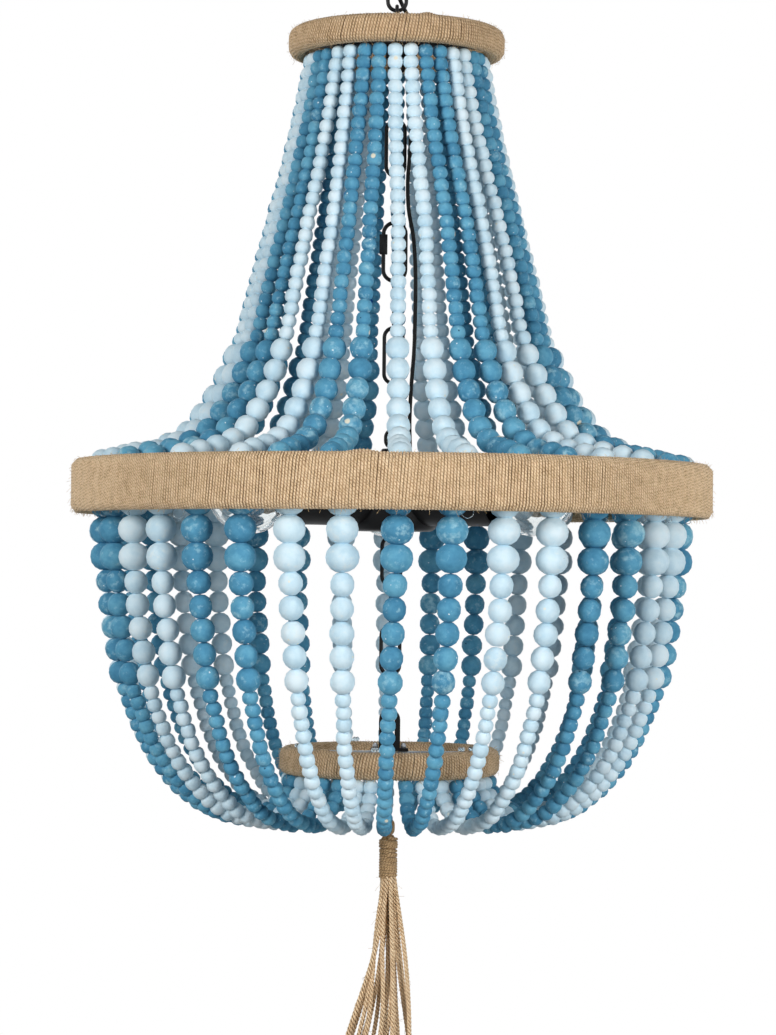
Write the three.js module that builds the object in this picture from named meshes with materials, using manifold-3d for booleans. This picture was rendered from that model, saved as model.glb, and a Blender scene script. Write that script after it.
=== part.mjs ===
// Beaded chandelier: two tiers of strung beads between three jute-bound rings, hung on a chain,
// with a cluster of three lamps inside and a jute tassel below.
// Millimetres, +Z up. The ceiling is at zero height on the axis, and the front is towards -Y.
import * as THREE from "three";
import { mergeVertices } from "three/addons/utils/BufferGeometryUtils.js";
import Module from "manifold-3d";

const wasm = await Module();
wasm.setup();

// Clearances and allowances
const fitGap = 0.3; // between two pieces that seat on each other
const sink = 0.6; // how far joined pieces of one solid run into each other
const overrun = 2; // how far a cut runs past the face that it opens
const weldDistance = 0.001; // points nearer than this are one point

// Ceiling fitting
const barLength = 100;
const barWidth = 22;
const barThickness = 3;
const bossRadius = 9; // threaded boss under the middle of the bar
const bossHeight = 9;
const nippleRadius = 5;
const nippleEnd = 1.5; // metal left above the nipple in the bar
const canopyRadius = 62;
const canopyHeight = 25;
const canopyWall = 1.6;
const canopyRounding = 17;
const collarRadius = 11;
const collarThickness = 4;
const loopLength = 20;
const loopWidth = 20;

// Chain
const wire = 3.2;
const linkLength = 46;
const linkWidth = 18;
const upperChainLinks = 3; // above the quick link
const lowerChainLinks = 3; // below the quick link
const basketChainLinks = 4;
const quickLinkLength = 50;
const quickLinkWidth = 21;
const quickLinkGap = 8; // opening in its left side
const sleeveRadius = 3.7;
const sleeveLength = 16;

// Eyes of the frames
const eyeWidth = 14;
const hangingEyeLength = 18; // above the top ring
const hangingShankLength = 13;
const shankRadius = 3;
const carryingEyeLength = 14; // below the top ring

// Rings: sizes over the jute binding
const bindingThickness = 3.5;
const topRingRadius = 86.7;
const topRingHeight = 22.3;
const bottomRingRadius = 88;
const bottomRingHeight = 22;
const smallRingWidth = 15;
const smallRingRounding = 6.5;
const mainRingRadius = 255.5;
const mainRingHeight = 42.5;
const mainRingWidth = 13.5;
const mainRingRounding = 5;
const chamferShare = 0.6; // chamfer that stands for a rounded corner, as a share of its radius
const seamWidth = 1.2; // where the binding of the main ring starts and ends

// Tiers
const upperTier = 357.4; // from the middle of the top ring to the middle of the main ring
const lowerTier = 216; // from there to the middle of the bottom ring

// Frame straps
const strapWidth = 20;
const strapThickness = 3;
const hubRadius = 9;
const hubHeight = 10;
const glandRadius = 5;
const glandHeight = 12;
const glandPlace = 14.5; // from the axis to the cord's gland on the top strap

// Strands of beads
const strandsInTier = 36;
const strandsInPair = 2;
const smallBead = 12;
const smallPitch = 10;
const mediumBead = 18;
const mediumPitch = 18;
const largeBead = 24;
const largePitch = 20.6;
const upperMediumBeads = 9;
const lowerMediumBeads = 5;
const lowerLargeBeads = 3;
const stringRadius = 1;
const topHangInset = 3.2; // the upper strands start this far inside the top ring's inner edge
const upperEndHeight = 24; // their last beads lie this far above the middle of the main ring
const lowerStartDepth = 14.5; // the lower strands start this far below it
const basketDip = 28; // how far the lower strands hang below their last beads
const upperTurn = -1; // degrees from the front to the first strand
// Degrees that each upper strand strays sideways on its way down
const upperDrifts = [
  2.4, 4.2, 4.4, 4.4, 3.2, 5.5, 6.5, 6, 5, 4, 3, 2, 1, 0, -1, 0, 1, 0.5,
  -1, 0, 1, 0, -1, 0, 0.5, 0, -0.5, 0.5, 2, 3, 1, 0.7, -1.3, 2.4, 0.2, 0,
];
const driftShare = 0.4; // share of the way by which it has done so
const lowerTurn = 1;

// Lamp cluster
const clusterDepth = 4; // its lamps' axis below the middle of the main ring
const bodyRadius = 36;
const bodyAbove = 27; // body above and below the lamps' axis
const bodyBelow = 29;
const bodyRounding = 6;
const crownRadius = 9;
const crownHeight = 10;
const clusterEyeLength = 17;
const clusterEyeBelow = 9.6; // how much of the lower eye shows under the body
const cupRadius = 25;
const cupWall = 2; // also of the body
const cupMouth = 95; // from the axis of the chandelier
const cupFloor = 62;
const socketWall = 2;
const socketMouth = 85;
const cordEntry = 14; // from the axis to the cord's way into the body
const lampTurns = [60, 180, 300]; // degrees from the front

// Bulbs
const capRadius = 13;
const capLength = 26;
const contactRadius = 5;
const globeRadius = 33;
const globePlace = 128;
const glassWall = 1.2;

// Clevis and bottom frame
const clevisWidth = 17;
const clevisHeight = 33.5;
const clevisDepth = 6;
const clevisWall = 4.5;
const clevisSeat = 2.1; // from the arch's crown down to the bend of the link that carries it
const clevisBlock = 13;
const footWidth = 30;
const footThickness = 2.4;
const nutPlace = 11.2;
const nutRadius = 2.6;
const nutHeight = 4;
const tasselEyeLength = 12;

// Tassel
const hangerWire = 2.6;
const hangerLength = 50;
const hangerWidth = 9;
const tasselLoopLength = 14;
const tasselLoopWidth = 10;
const neckRadius = 7;
const neckLength = 40;
const whippingYarn = 3.4;
const whippingPitch = 4.2;
const skirtCordRadius = 1.7;
const skirtLength = 150;
const skirtLean = 9; // the skirt's end hangs this far to the left
const outerCords = 9;
const outerGather = 6; // from the axis to the cords in the neck
const outerSpread = 30; // and at the hem
const innerCords = 3;
const innerGather = 2;
const innerSpread = 13;

// Lamp cord: its radius, and its route from the canopy through the chain to the lamp cluster
const cordRadius = 1.5;
const cordHoleGap = 0.5;
const cordRoute = [
  [15, 0, -14],
  [15, 0, -24],
  [15, -1, -36],
  [12, -5, -52],
  [8, -8, -68],
  [5, -9, -80],
  [2, -6, -92],
  [0.5, 0, -103],
  [1, 5, -112],
  [5, 8, -121],
  [10, 6, -131],
  [14.3, 0.6, -141],
  [14.5, 0, -148],
  [14.5, 0, -162],
  [14.3, -1.5, -171],
  [13.5, -4, -188],
  [12.5, -5, -212],
  [11.5, -5, -240],
  [10, -4, -264],
  [11, -3, -286],
  [15, -2, -308],
  [17, -1, -338],
  [17, 0, -372],
  [16.5, 0, -398],
  [14.5, -1, -428],
  [13.5, -1, -456],
  [14, 0, -477],
  [14, 0, -492],
];

// Facets
const mainRingFacets = 36; // one for each strand
const smallRingFacets = 18; // one for each pair of strands
const turnedFacets = 9;
const canopyFacets = 14;
const bodyFacets = 12;
const wireSides = 5;
const movingBendSteps = 6; // steps in each bend of a link that moves
const fixedBendSteps = 4;
const beadSides = 3;
const largeBeadSides = 4;
const neckSides = 3;
const upperRunSteps = 3; // the plain runs stand for the small beads
const lowerRunSteps = 5;
const cordSides = 8;
const cordSteps = 43;
const whippingSteps = 7;
const whippingSides = 4;
const skirtSteps = 3;
const skirtSides = 3;

// Shapes of the strands, as shares of the distances that they span
// Upper strand: outward share, then share of the height that is left
const upperShares = [
  [0, 1],
  [0.08, 0.787],
  [0.17, 0.594],
  [0.265, 0.4],
  [0.32, 0.284],
  [0.38, 0.206],
  [0.46, 0.129],
  [0.575, 0.052],
  [0.74, 0.01],
  [0.88, -0.004],
  [1, -0.02],
];
// Lower strand, down to its lowest point: inward share, then share of the drop
const fallShares = [
  [0, 0],
  [0.002, 0.15],
  [0.02, 0.295],
  [0.071, 0.488],
  [0.105, 0.586],
  [0.162, 0.681],
  [0.236, 0.777],
  [0.35, 0.873],
  [0.525, 0.962],
  [0.68, 0.993],
  [0.8, 1],
];
// From the lowest point up to the bottom ring: inward share, then share of the dip
const riseShares = [
  [0.902, 0.76],
  [0.98, 0.38],
  [1, 0.14],
  [1, 0],
];
const neckShare = 0.42; // waist between two beads, as a share of the bead
const runShare = 1.08; // a plain run against the beads that it stands for

// Finishes
const blackMetal = new THREE.MeshStandardMaterial({ color: 0x17171a, roughness: 0.42, metalness: 0.85 });
const galvanised = new THREE.MeshStandardMaterial({ color: 0xb8babb, roughness: 0.45, metalness: 0.9 });
const jute = new THREE.MeshStandardMaterial({ color: 0xc0a07a, roughness: 0.95, metalness: 0 });
const bentWood = new THREE.MeshStandardMaterial({ color: 0x8a6a45, roughness: 0.8, metalness: 0 });
const paleBlue = new THREE.MeshStandardMaterial({ color: 0xc3dfee, roughness: 0.8, metalness: 0 });
const steelBlue = new THREE.MeshStandardMaterial({ color: 0x4a90b5, roughness: 0.8, metalness: 0 });
const clearGlass = new THREE.MeshStandardMaterial({ color: 0xf2f6f6, roughness: 0.05, metalness: 0 });
const blackPlastic = new THREE.MeshStandardMaterial({ color: 0x121212, roughness: 0.5, metalness: 0 });

// Solid work: closed geometries are joined and cut, and come back as geometries
function solidOf(geometry) {
  const bare = geometry.clone();
  bare.deleteAttribute("normal");
  bare.deleteAttribute("uv");
  const merged = mergeVertices(bare, weldDistance);
  const mesh = new wasm.Mesh({
    numProp: 3,
    vertProperties: merged.attributes.position.array,
    triVerts: new Uint32Array(merged.index.array),
  });
  return new wasm.Manifold(mesh);
}

function geometryOf(solid) {
  const made = solid.getMesh();
  const geometry = new THREE.BufferGeometry();
  geometry.setAttribute("position", new THREE.BufferAttribute(made.vertProperties.slice(), 3));
  geometry.setIndex(new THREE.BufferAttribute(made.triVerts.slice(), 1));
  geometry.computeVertexNormals();
  return geometry;
}

function joined(first, ...others) {
  return geometryOf(others.reduce((whole, other) => whole.add(solidOf(other)), solidOf(first)));
}

function cut(whole, ...cutters) {
  return geometryOf(cutters.reduce((left, cutter) => left.subtract(solidOf(cutter)), solidOf(whole)));
}

// Basic shapes
function box(width, depth, height, x, y, z) {
  return new THREE.BoxGeometry(width, depth, height).translate(x, y, z);
}

function upright(radius, height, top, x = 0, facets = turnedFacets) {
  const cylinder = new THREE.CylinderGeometry(radius, radius, height, facets);
  return cylinder.rotateX(Math.PI / 2).translate(x, 0, top - height / 2);
}

// A profile of [radius, height] pairs turned about the vertical axis, listed anticlockwise
function turned(profile, facets = turnedFacets) {
  const points = profile.map(([radius, height]) => new THREE.Vector2(radius, height));
  return new THREE.LatheGeometry(points, facets).rotateX(Math.PI / 2);
}

// A facet's middle lies nearer to the axis than its ends
function flatOf(radius, facets) {
  return radius * Math.cos(Math.PI / facets);
}

function towards(degrees) {
  const angle = THREE.MathUtils.degToRad(degrees);
  return new THREE.Vector3(Math.sin(angle), -Math.cos(angle), 0);
}

function quarter(centreX, centreY, radius, fromDegrees, steps) {
  return Array.from({ length: steps + 1 }, (_, step) => {
    const angle = THREE.MathUtils.degToRad(fromDegrees + (step * 90) / steps);
    return [centreX + radius * Math.cos(angle), centreY + radius * Math.sin(angle)];
  });
}

// A ring of points round a path, square to it
function section(centre, tangent, side, radius, sides, turn) {
  const up = new THREE.Vector3().crossVectors(tangent, side).normalize();
  const angles = Array.from({ length: sides }, (_, i) => turn + (2 * Math.PI * i) / sides);
  const points = angles.map((angle) =>
    centre
      .clone()
      .addScaledVector(side, radius * Math.cos(angle))
      .addScaledVector(up, radius * Math.sin(angle)),
  );
  return { angles, points };
}

// One skin over a row of sections, which may differ in their number of points
function skin(sections, closed) {
  const positions = [];
  const index = [];
  const starts = [];
  for (const { points } of sections) {
    starts.push(positions.length / 3);
    points.forEach((point) => positions.push(point.x, point.y, point.z));
  }
  const bridge = (a, b) => {
    const near = sections[a];
    const far = sections[b];
    const nearCount = near.points.length;
    const farCount = far.points.length;
    let i = 0;
    let j = 0;
    while (i < nearCount || j < farCount) {
      const nextNear = near.angles[0] + (2 * Math.PI * (i + 1)) / nearCount;
      const nextFar = far.angles[0] + (2 * Math.PI * (j + 1)) / farCount;
      const here = starts[a] + (i % nearCount);
      const there = starts[b] + (j % farCount);
      if (j === farCount || (i < nearCount && nextNear <= nextFar)) {
        i += 1;
        index.push(here, starts[a] + (i % nearCount), there);
      } else {
        j += 1;
        index.push(here, starts[b] + (j % farCount), there);
      }
    }
  };
  for (let i = 0; i + 1 < sections.length; i += 1) bridge(i, i + 1);
  if (closed) {
    bridge(sections.length - 1, 0);
  } else {
    const last = sections.length - 1;
    for (let i = 1; i + 1 < sections[0].points.length; i += 1) index.push(starts[0], starts[0] + i + 1, starts[0] + i);
    for (let i = 1; i + 1 < sections[last].points.length; i += 1) {
      index.push(starts[last], starts[last] + i, starts[last] + i + 1);
    }
  }
  const geometry = new THREE.BufferGeometry();
  geometry.setAttribute("position", new THREE.Float32BufferAttribute(positions, 3));
  geometry.setIndex(index);
  return geometry;
}

// A stadium-shaped loop of round wire that hangs from topBar, the height of its upper bar's centre
function wireLoop(length, width, thickness, across, topBar, bendSteps) {
  const bend = (width - thickness) / 2;
  const straight = length - thickness - 2 * bend;
  const side = new THREE.Vector3(0, 0, 1).cross(across);
  const sections = [];
  for (const end of [0, 1]) {
    for (let step = 0; step <= bendSteps; step += 1) {
      const angle = Math.PI * (end + step / bendSteps);
      const centreHeight = topBar - bend - end * straight;
      const centre = across.clone().multiplyScalar(bend * Math.cos(angle));
      centre.z = centreHeight + bend * Math.sin(angle);
      const tangent = across.clone().multiplyScalar(-Math.sin(angle));
      tangent.z = Math.cos(angle);
      sections.push(section(centre, tangent, side, thickness / 2, wireSides, Math.PI / 2));
    }
  }
  return skin(sections, true);
}

const alongX = new THREE.Vector3(1, 0, 0);
const alongY = new THREE.Vector3(0, 1, 0);

const model = new THREE.Group();

function add(group, name, geometry, material) {
  const mesh = new THREE.Mesh(geometry, material);
  mesh.name = name;
  group.add(mesh);
  return mesh;
}

// Ceiling fitting: a bar that is screwed to the ceiling, a canopy over it, and a loop on a nipple
const ceilingFitting = new THREE.Group();
model.add(ceilingFitting);

const bossBottom = -barThickness - bossHeight;
const bar = joined(
  box(barLength, barWidth, barThickness, 0, 0, -barThickness / 2),
  upright(bossRadius, bossHeight + sink, sink - barThickness),
);
const nippleHole = upright(
  (nippleRadius + fitGap) / Math.cos(Math.PI / turnedFacets),
  bossHeight + overrun + barThickness - nippleEnd,
  -nippleEnd,
);
add(ceilingFitting, "ceiling_bar", cut(bar, nippleHole), galvanised);

const canopyHole = nippleRadius + 2 * fitGap;
const canopyProfile = [
  [canopyHole, -canopyHeight],
  ...quarter(canopyRadius - canopyRounding, canopyRounding - canopyHeight, canopyRounding, -90, 2),
  [canopyRadius, 0],
  [canopyRadius - canopyWall, 0],
  ...quarter(
    canopyRadius - canopyRounding,
    canopyRounding - canopyHeight,
    canopyRounding - canopyWall,
    -90,
    2,
  ).reverse(),
  [canopyHole, canopyWall - canopyHeight],
  [canopyHole, -canopyHeight],
];
const canopyCordHole = upright(cordRadius + cordHoleGap, canopyWall + 2 * overrun, overrun + canopyWall - canopyHeight)
  .translate(cordRoute[0][0], 0, 0);
add(ceilingFitting, "ceiling_canopy", cut(turned(canopyProfile, canopyFacets), canopyCordHole), blackMetal);

const nippleTop = -nippleEnd - fitGap;
const collarTop = -canopyHeight - fitGap;
const loopTopBar = collarTop - collarThickness + sink - wire / 2;
const loopBar = loopTopBar - loopLength + wire;
const canopyLoop = joined(
  upright(nippleRadius, nippleTop - collarTop + sink, nippleTop),
  upright(collarRadius, collarThickness, collarTop),
  wireLoop(loopLength, loopWidth, wire, alongX, loopTopBar, movingBendSteps),
);
add(ceilingFitting, "canopy_loop", canopyLoop, blackMetal);

// Hanging chain: each link hangs on the bar of the one above it
const linkSeat = wire + fitGap; // between the centres of two bars that seat on each other
const firstLinkTop = loopBar + linkSeat;
const secondLinkTop = firstLinkTop - (linkLength - wire) + linkSeat;
const hangingEyeTop = secondLinkTop - (linkLength - wire) + linkSeat;
add(model, "chain_link_1", wireLoop(linkLength, linkWidth, wire, alongY, firstLinkTop, movingBendSteps), blackMetal);
add(model, "chain_link_2", wireLoop(linkLength, linkWidth, wire, alongX, secondLinkTop, movingBendSteps), blackMetal);

// Everything below hangs on the eye of the top ring
const chandelier = new THREE.Group();
model.add(chandelier);
const shankTop = hangingEyeTop + wire / 2 - hangingEyeLength + sink;
const topRingZ = shankTop - sink - hangingShankLength - strapThickness / 2;
const mainRingZ = topRingZ - upperTier;
const bottomRingZ = mainRingZ - lowerTier;

// Rings: a hoop, bound all round with jute. The binding is hollow and its slots let the strap out
function ringProfile(outer, width, height, rounding) {
  const inner = outer - width;
  const chamfer = rounding * chamferShare;
  const half = height / 2;
  return [
    [inner + chamfer, -half],
    [outer - chamfer, -half],
    [outer, chamfer - half],
    [outer, half - chamfer],
    [outer - chamfer, half],
    [inner + chamfer, half],
    [inner, half - chamfer],
    [inner, chamfer - half],
    [inner + chamfer, -half],
  ];
}

function squareProfile(inner, outer, half) {
  return [
    [inner, -half],
    [outer, -half],
    [outer, half],
    [inner, half],
    [inner, -half],
  ];
}

function hoop(outer, width, height, facets) {
  const cover = bindingThickness + fitGap;
  return turned(squareProfile(outer - width + cover, outer - cover, height / 2 - cover), facets);
}

function binding(outer, width, height, rounding, facets, ...slots) {
  const room = turned(
    squareProfile(outer - width + bindingThickness, outer - bindingThickness, height / 2 - bindingThickness),
    facets,
  );
  return cut(turned(ringProfile(outer, width, height, rounding), facets), room, ...slots);
}

// The strap runs from hoop wall to hoop wall at a height above the ring's middle
function strapLength(outer) {
  return 2 * flatOf(outer - smallRingWidth + bindingThickness + fitGap, smallRingFacets) + 2 * sink;
}

function strapSlots(outer, height) {
  const reach = outer - smallRingWidth / 2;
  return box(2 * reach, strapWidth + 2 * fitGap, strapThickness + 2 * fitGap, 0, 0, height);
}

// Top ring: its frame carries an eye above, an eye below and a gland for the cord
const strapBottom = -strapThickness / 2;
const hubBottom = strapBottom - hubHeight;
const carryingEyeTop = hubBottom + sink - wire / 2;
const carryingBar = topRingZ + carryingEyeTop - carryingEyeLength + wire;
const topFrame = joined(
  hoop(topRingRadius, smallRingWidth, topRingHeight, smallRingFacets),
  box(strapLength(topRingRadius), strapWidth, strapThickness, 0, 0, 0),
  upright(shankRadius, hangingShankLength + 2 * sink, strapThickness / 2 + hangingShankLength + sink),
  wireLoop(
    hangingEyeLength,
    eyeWidth,
    wire,
    alongY,
    strapThickness / 2 + hangingShankLength + hangingEyeLength - wire / 2,
    movingBendSteps,
  ),
  upright(hubRadius, hubHeight + sink, strapBottom + sink),
  wireLoop(carryingEyeLength, eyeWidth, wire, alongX, carryingEyeTop, fixedBendSteps),
  upright(glandRadius, glandHeight, glandHeight / 2, glandPlace),
);
const glandHole = upright(cordRadius + cordHoleGap, glandHeight + 2 * overrun, glandHeight / 2 + overrun, glandPlace);
const topRing = new THREE.Group();
topRing.position.z = topRingZ;
chandelier.add(topRing);
add(topRing, "top_ring_frame", cut(topFrame, glandHole), blackMetal);
add(
  topRing,
  "top_ring_binding",
  binding(
    topRingRadius,
    smallRingWidth,
    topRingHeight,
    smallRingRounding,
    smallRingFacets,
    strapSlots(topRingRadius, 0),
  ),
  jute,
);

// Main ring: a bent wooden hoop, with the seam of its binding at the back
const mainRing = new THREE.Group();
mainRing.position.z = mainRingZ;
chandelier.add(mainRing);
const seamDepth = bindingThickness + 2 * overrun;
const seam = box(
  seamWidth,
  seamDepth,
  mainRingHeight - 2 * bindingThickness,
  0,
  mainRingRadius - mainRingWidth - overrun + seamDepth / 2,
  0,
);
add(mainRing, "main_ring_hoop", hoop(mainRingRadius, mainRingWidth, mainRingHeight, mainRingFacets), bentWood);
add(
  mainRing,
  "main_ring_binding",
  binding(mainRingRadius, mainRingWidth, mainRingHeight, mainRingRounding, mainRingFacets, seam),
  jute,
);

// Bottom ring: its strap lies at the top of the hoop and carries the clevis and the tassel's eye
const bottomStrapTop = bottomRingHeight / 2 - bindingThickness - fitGap;
const bottomStrapMiddle = bottomStrapTop - strapThickness / 2;
const tasselEyeTop = bottomStrapTop - strapThickness + sink - hangerWire / 2;
const tasselBar = bottomRingZ + tasselEyeTop - tasselEyeLength + hangerWire;
const studs = [-nutPlace, nutPlace].map((x) =>
  upright(nutRadius, nutHeight + footThickness + fitGap + sink, bottomStrapTop + nutHeight + footThickness + fitGap, x, 6),
);
const bottomFrame = joined(
  hoop(bottomRingRadius, smallRingWidth, bottomRingHeight, smallRingFacets),
  box(strapLength(bottomRingRadius), strapWidth, strapThickness, 0, 0, bottomStrapMiddle),
  wireLoop(tasselEyeLength, eyeWidth, hangerWire, alongX, tasselEyeTop, movingBendSteps),
  ...studs,
);
const bottomRing = new THREE.Group();
bottomRing.position.z = bottomRingZ;
chandelier.add(bottomRing);
add(bottomRing, "bottom_ring_frame", bottomFrame, galvanised);
add(
  bottomRing,
  "bottom_ring_binding",
  binding(
    bottomRingRadius,
    smallRingWidth,
    bottomRingHeight,
    smallRingRounding,
    smallRingFacets,
    strapSlots(bottomRingRadius, bottomStrapMiddle),
  ),
  jute,
);

// Clevis: a black arch on a foot that the studs hold down
const clevisFoot = bottomRingZ + bottomStrapTop + fitGap;
const arch = new THREE.Shape();
arch.moveTo(-footWidth / 2, 0);
arch.lineTo(footWidth / 2, 0);
arch.lineTo(footWidth / 2, footThickness);
arch.lineTo(clevisWidth / 2, footThickness);
arch.lineTo(clevisWidth / 2, clevisHeight - clevisWidth / 2);
arch.absarc(0, clevisHeight - clevisWidth / 2, clevisWidth / 2, 0, Math.PI, false);
arch.lineTo(-clevisWidth / 2, footThickness);
arch.lineTo(-footWidth / 2, footThickness);
const archRoom = new THREE.Path();
const archRoomHalf = clevisWidth / 2 - clevisWall;
archRoom.moveTo(-archRoomHalf, clevisBlock);
archRoom.lineTo(archRoomHalf, clevisBlock);
archRoom.lineTo(archRoomHalf, clevisHeight - clevisWidth / 2);
archRoom.absarc(0, clevisHeight - clevisWidth / 2, archRoomHalf, 0, Math.PI, false);
arch.holes.push(archRoom);
const clevisPlate = new THREE.ExtrudeGeometry(arch, { depth: clevisDepth, bevelEnabled: false, curveSegments: 6 })
  .rotateX(Math.PI / 2)
  .translate(0, clevisDepth / 2, clevisFoot);
const studHoles = [-nutPlace, nutPlace].map((x) =>
  upright(nutRadius + fitGap, footThickness + 2 * overrun, clevisFoot + footThickness + overrun, x, 6),
);
add(chandelier, "clevis", cut(clevisPlate, ...studHoles), blackMetal);

// A row of links that share a span evenly and are fused where they meet
function fusedChain(topBar, bottomBar, links, firstAcross) {
  const seat = wire - sink;
  const length = (topBar - bottomBar + (links - 1) * seat) / links + wire;
  const loops = Array.from({ length: links }, (_, i) => {
    const across = (i % 2 === 0) === (firstAcross === alongX) ? alongX : alongY;
    return wireLoop(length, linkWidth, wire, across, topBar - i * (length - wire - seat), fixedBendSteps);
  });
  return joined(...loops);
}

// Inner chain: links, the quick link with its sleeve, and links down to the lamp cluster
const clusterZ = mainRingZ - clusterDepth;
const crownTop = clusterZ + bodyAbove + crownHeight;
const clusterEyeTop = crownTop - sink + clusterEyeLength - wire / 2;
const innerTop = carryingBar + linkSeat;
const innerBottom = clusterEyeTop - linkSeat;
const innerLinks = upperChainLinks + lowerChainLinks;
const innerSpan = innerTop - innerBottom - (quickLinkLength - wire) + 2 * linkSeat;
const upperSpan = (innerSpan * upperChainLinks) / innerLinks;
const quickTop = innerTop - upperSpan + linkSeat;
const quickBottom = quickTop - (quickLinkLength - wire);
const lowerTop = quickBottom + linkSeat;
add(chandelier, "inner_chain_upper", fusedChain(innerTop, innerTop - upperSpan, upperChainLinks, alongY), blackMetal);
add(chandelier, "inner_chain_lower", fusedChain(lowerTop, innerBottom, lowerChainLinks, alongY), blackMetal);

const sleevePlace = (wire - quickLinkWidth) / 2;
const sleeveTop = quickTop - (quickLinkWidth - wire) / 2 - sink;
const gapTop = sleeveTop - (sleeveLength - quickLinkGap) / 2;
const quickLinkLoop = wireLoop(quickLinkLength, quickLinkWidth, wire, alongX, quickTop, fixedBendSteps);
const sideGap = box(2 * wire, 2 * wire, quickLinkGap, sleevePlace, 0, gapTop - quickLinkGap / 2);
add(chandelier, "quick_link", cut(quickLinkLoop, sideGap), blackMetal);
const sleeveBody = upright(sleeveRadius, sleeveLength, sleeveTop, sleevePlace, 6);
const sleeveBore = upright(
  (wire / 2 + fitGap) / Math.cos(Math.PI / turnedFacets),
  sleeveLength + 2 * overrun,
  sleeveTop + overrun,
  sleevePlace,
);
add(chandelier, "quick_link_sleeve", cut(sleeveBody, sleeveBore), blackMetal);

// Lamp cluster: a hollow body with three level cups, an eye above and an eye below
const lampCluster = new THREE.Group();
lampCluster.position.z = clusterZ;
chandelier.add(lampCluster);
const bodyProfile = [
  [0, -bodyBelow],
  [bodyRadius - bodyRounding, -bodyBelow],
  [bodyRadius, bodyRounding - bodyBelow],
  [bodyRadius, bodyAbove - bodyRounding],
  [bodyRadius - bodyRounding, bodyAbove],
  [crownRadius, bodyAbove],
  [crownRadius, bodyAbove + crownHeight],
  [0, bodyAbove + crownHeight],
];
const socketBore = (capRadius + fitGap) / Math.cos(Math.PI / turnedFacets);
const socketRadius = socketBore + socketWall;
const cupProfile = [
  [0, bodyRadius / 2],
  [cupRadius, bodyRadius / 2],
  [cupRadius, cupMouth],
  [cupRadius - cupWall, cupMouth],
  [cupRadius - cupWall, cupFloor],
  [socketRadius, cupFloor],
  [socketRadius, socketMouth],
  [socketBore, socketMouth],
  [socketBore, cupFloor],
  [0, cupFloor],
];
const level = (geometry, degrees) =>
  geometry.rotateX(Math.PI / 2).rotateZ(THREE.MathUtils.degToRad(degrees));
const bodyRoom = upright(
  bodyRadius - cupWall,
  bodyAbove + bodyBelow - 2 * bodyRounding,
  bodyAbove - bodyRounding,
  0,
  bodyFacets,
);
const cupRoom = upright(cupRadius - cupWall, cupFloor - cupWall, cupFloor - cupWall);
const cordEntryHole = upright(
  cordRadius + cordHoleGap,
  bodyRounding + 2 * overrun,
  bodyAbove + overrun,
  cordEntry,
);
const clusterShell = cut(
  joined(turned(bodyProfile, bodyFacets), ...lampTurns.map((degrees) => level(turned(cupProfile), degrees))),
  bodyRoom,
  ...lampTurns.map((degrees) => level(cupRoom.clone(), degrees)),
  cordEntryHole,
);
const clusterBody = joined(
  clusterShell,
  wireLoop(clusterEyeLength, eyeWidth, wire, alongX, clusterEyeTop - clusterZ, fixedBendSteps),
  wireLoop(
    2 * clusterEyeBelow,
    eyeWidth,
    wire,
    alongY,
    clusterEyeBelow - bodyBelow - wire / 2,
    fixedBendSteps,
  ),
);
add(lampCluster, "lamp_cluster", clusterBody, blackMetal);

// Basket chain from the cluster's lower eye down to the clevis
const basketTop = clusterZ - bodyBelow - clusterEyeBelow + wire / 2 + linkSeat;
const basketBottom = clevisFoot + clevisHeight - clevisWall - clevisSeat - wire / 2;
add(chandelier, "basket_chain", fusedChain(basketTop, basketBottom, basketChainLinks, alongX), blackMetal);

// Bulbs: a cap whose contact rests on the cup's floor, and a clear globe, blown thin
const capEnd = cupFloor + fitGap;
const globeShoulder = Math.asin((capRadius - glassWall) / globeRadius);
const globeArc = (radius, from, to, steps) =>
  Array.from({ length: steps + 1 }, (_, i) => {
    const angle = from + ((to - from) * i) / steps;
    return [radius * Math.sin(angle), globePlace - radius * Math.cos(angle)];
  });
const innerGlobe = globeRadius - glassWall;
const innerShoulder = Math.asin((capRadius - 2 * glassWall) / innerGlobe);
const bulbProfile = [
  [contactRadius - glassWall, capEnd],
  [contactRadius, capEnd],
  [capRadius, capEnd + contactRadius / 2],
  [capRadius, capEnd + capLength],
  ...globeArc(globeRadius, globeShoulder, Math.PI, 4),
  ...globeArc(innerGlobe, innerShoulder, Math.PI, 2).reverse(),
  [capRadius - 2 * glassWall, capEnd + capLength],
  [contactRadius - glassWall, capEnd + contactRadius / 2 + glassWall],
  [contactRadius - glassWall, capEnd],
];
lampTurns.forEach((degrees, i) => {
  add(lampCluster, `bulb_${i + 1}`, level(turned(bulbProfile), degrees), clearGlass);
});

// Lamp cord
const cordPath = new THREE.CatmullRomCurve3(cordRoute.map(([x, y, z]) => new THREE.Vector3(x, y, z)));
const cordSection = new THREE.Shape(
  Array.from({ length: cordSides }, (_, i) => {
    const angle = (2 * Math.PI * i) / cordSides;
    return new THREE.Vector2(cordRadius * Math.cos(angle), cordRadius * Math.sin(angle));
  }),
);
const cordTube = new THREE.ExtrudeGeometry(cordSection, { steps: cordSteps, extrudePath: cordPath });
add(chandelier, "lamp_cord", cordTube, blackPlastic);

// Strands: small beads as a plain run, larger beads one by one, in pairs on one string
function strandCurve(points) {
  return new THREE.CatmullRomCurve3(points.map(([radius, height]) => new THREE.Vector3(radius, 0, height)));
}

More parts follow.
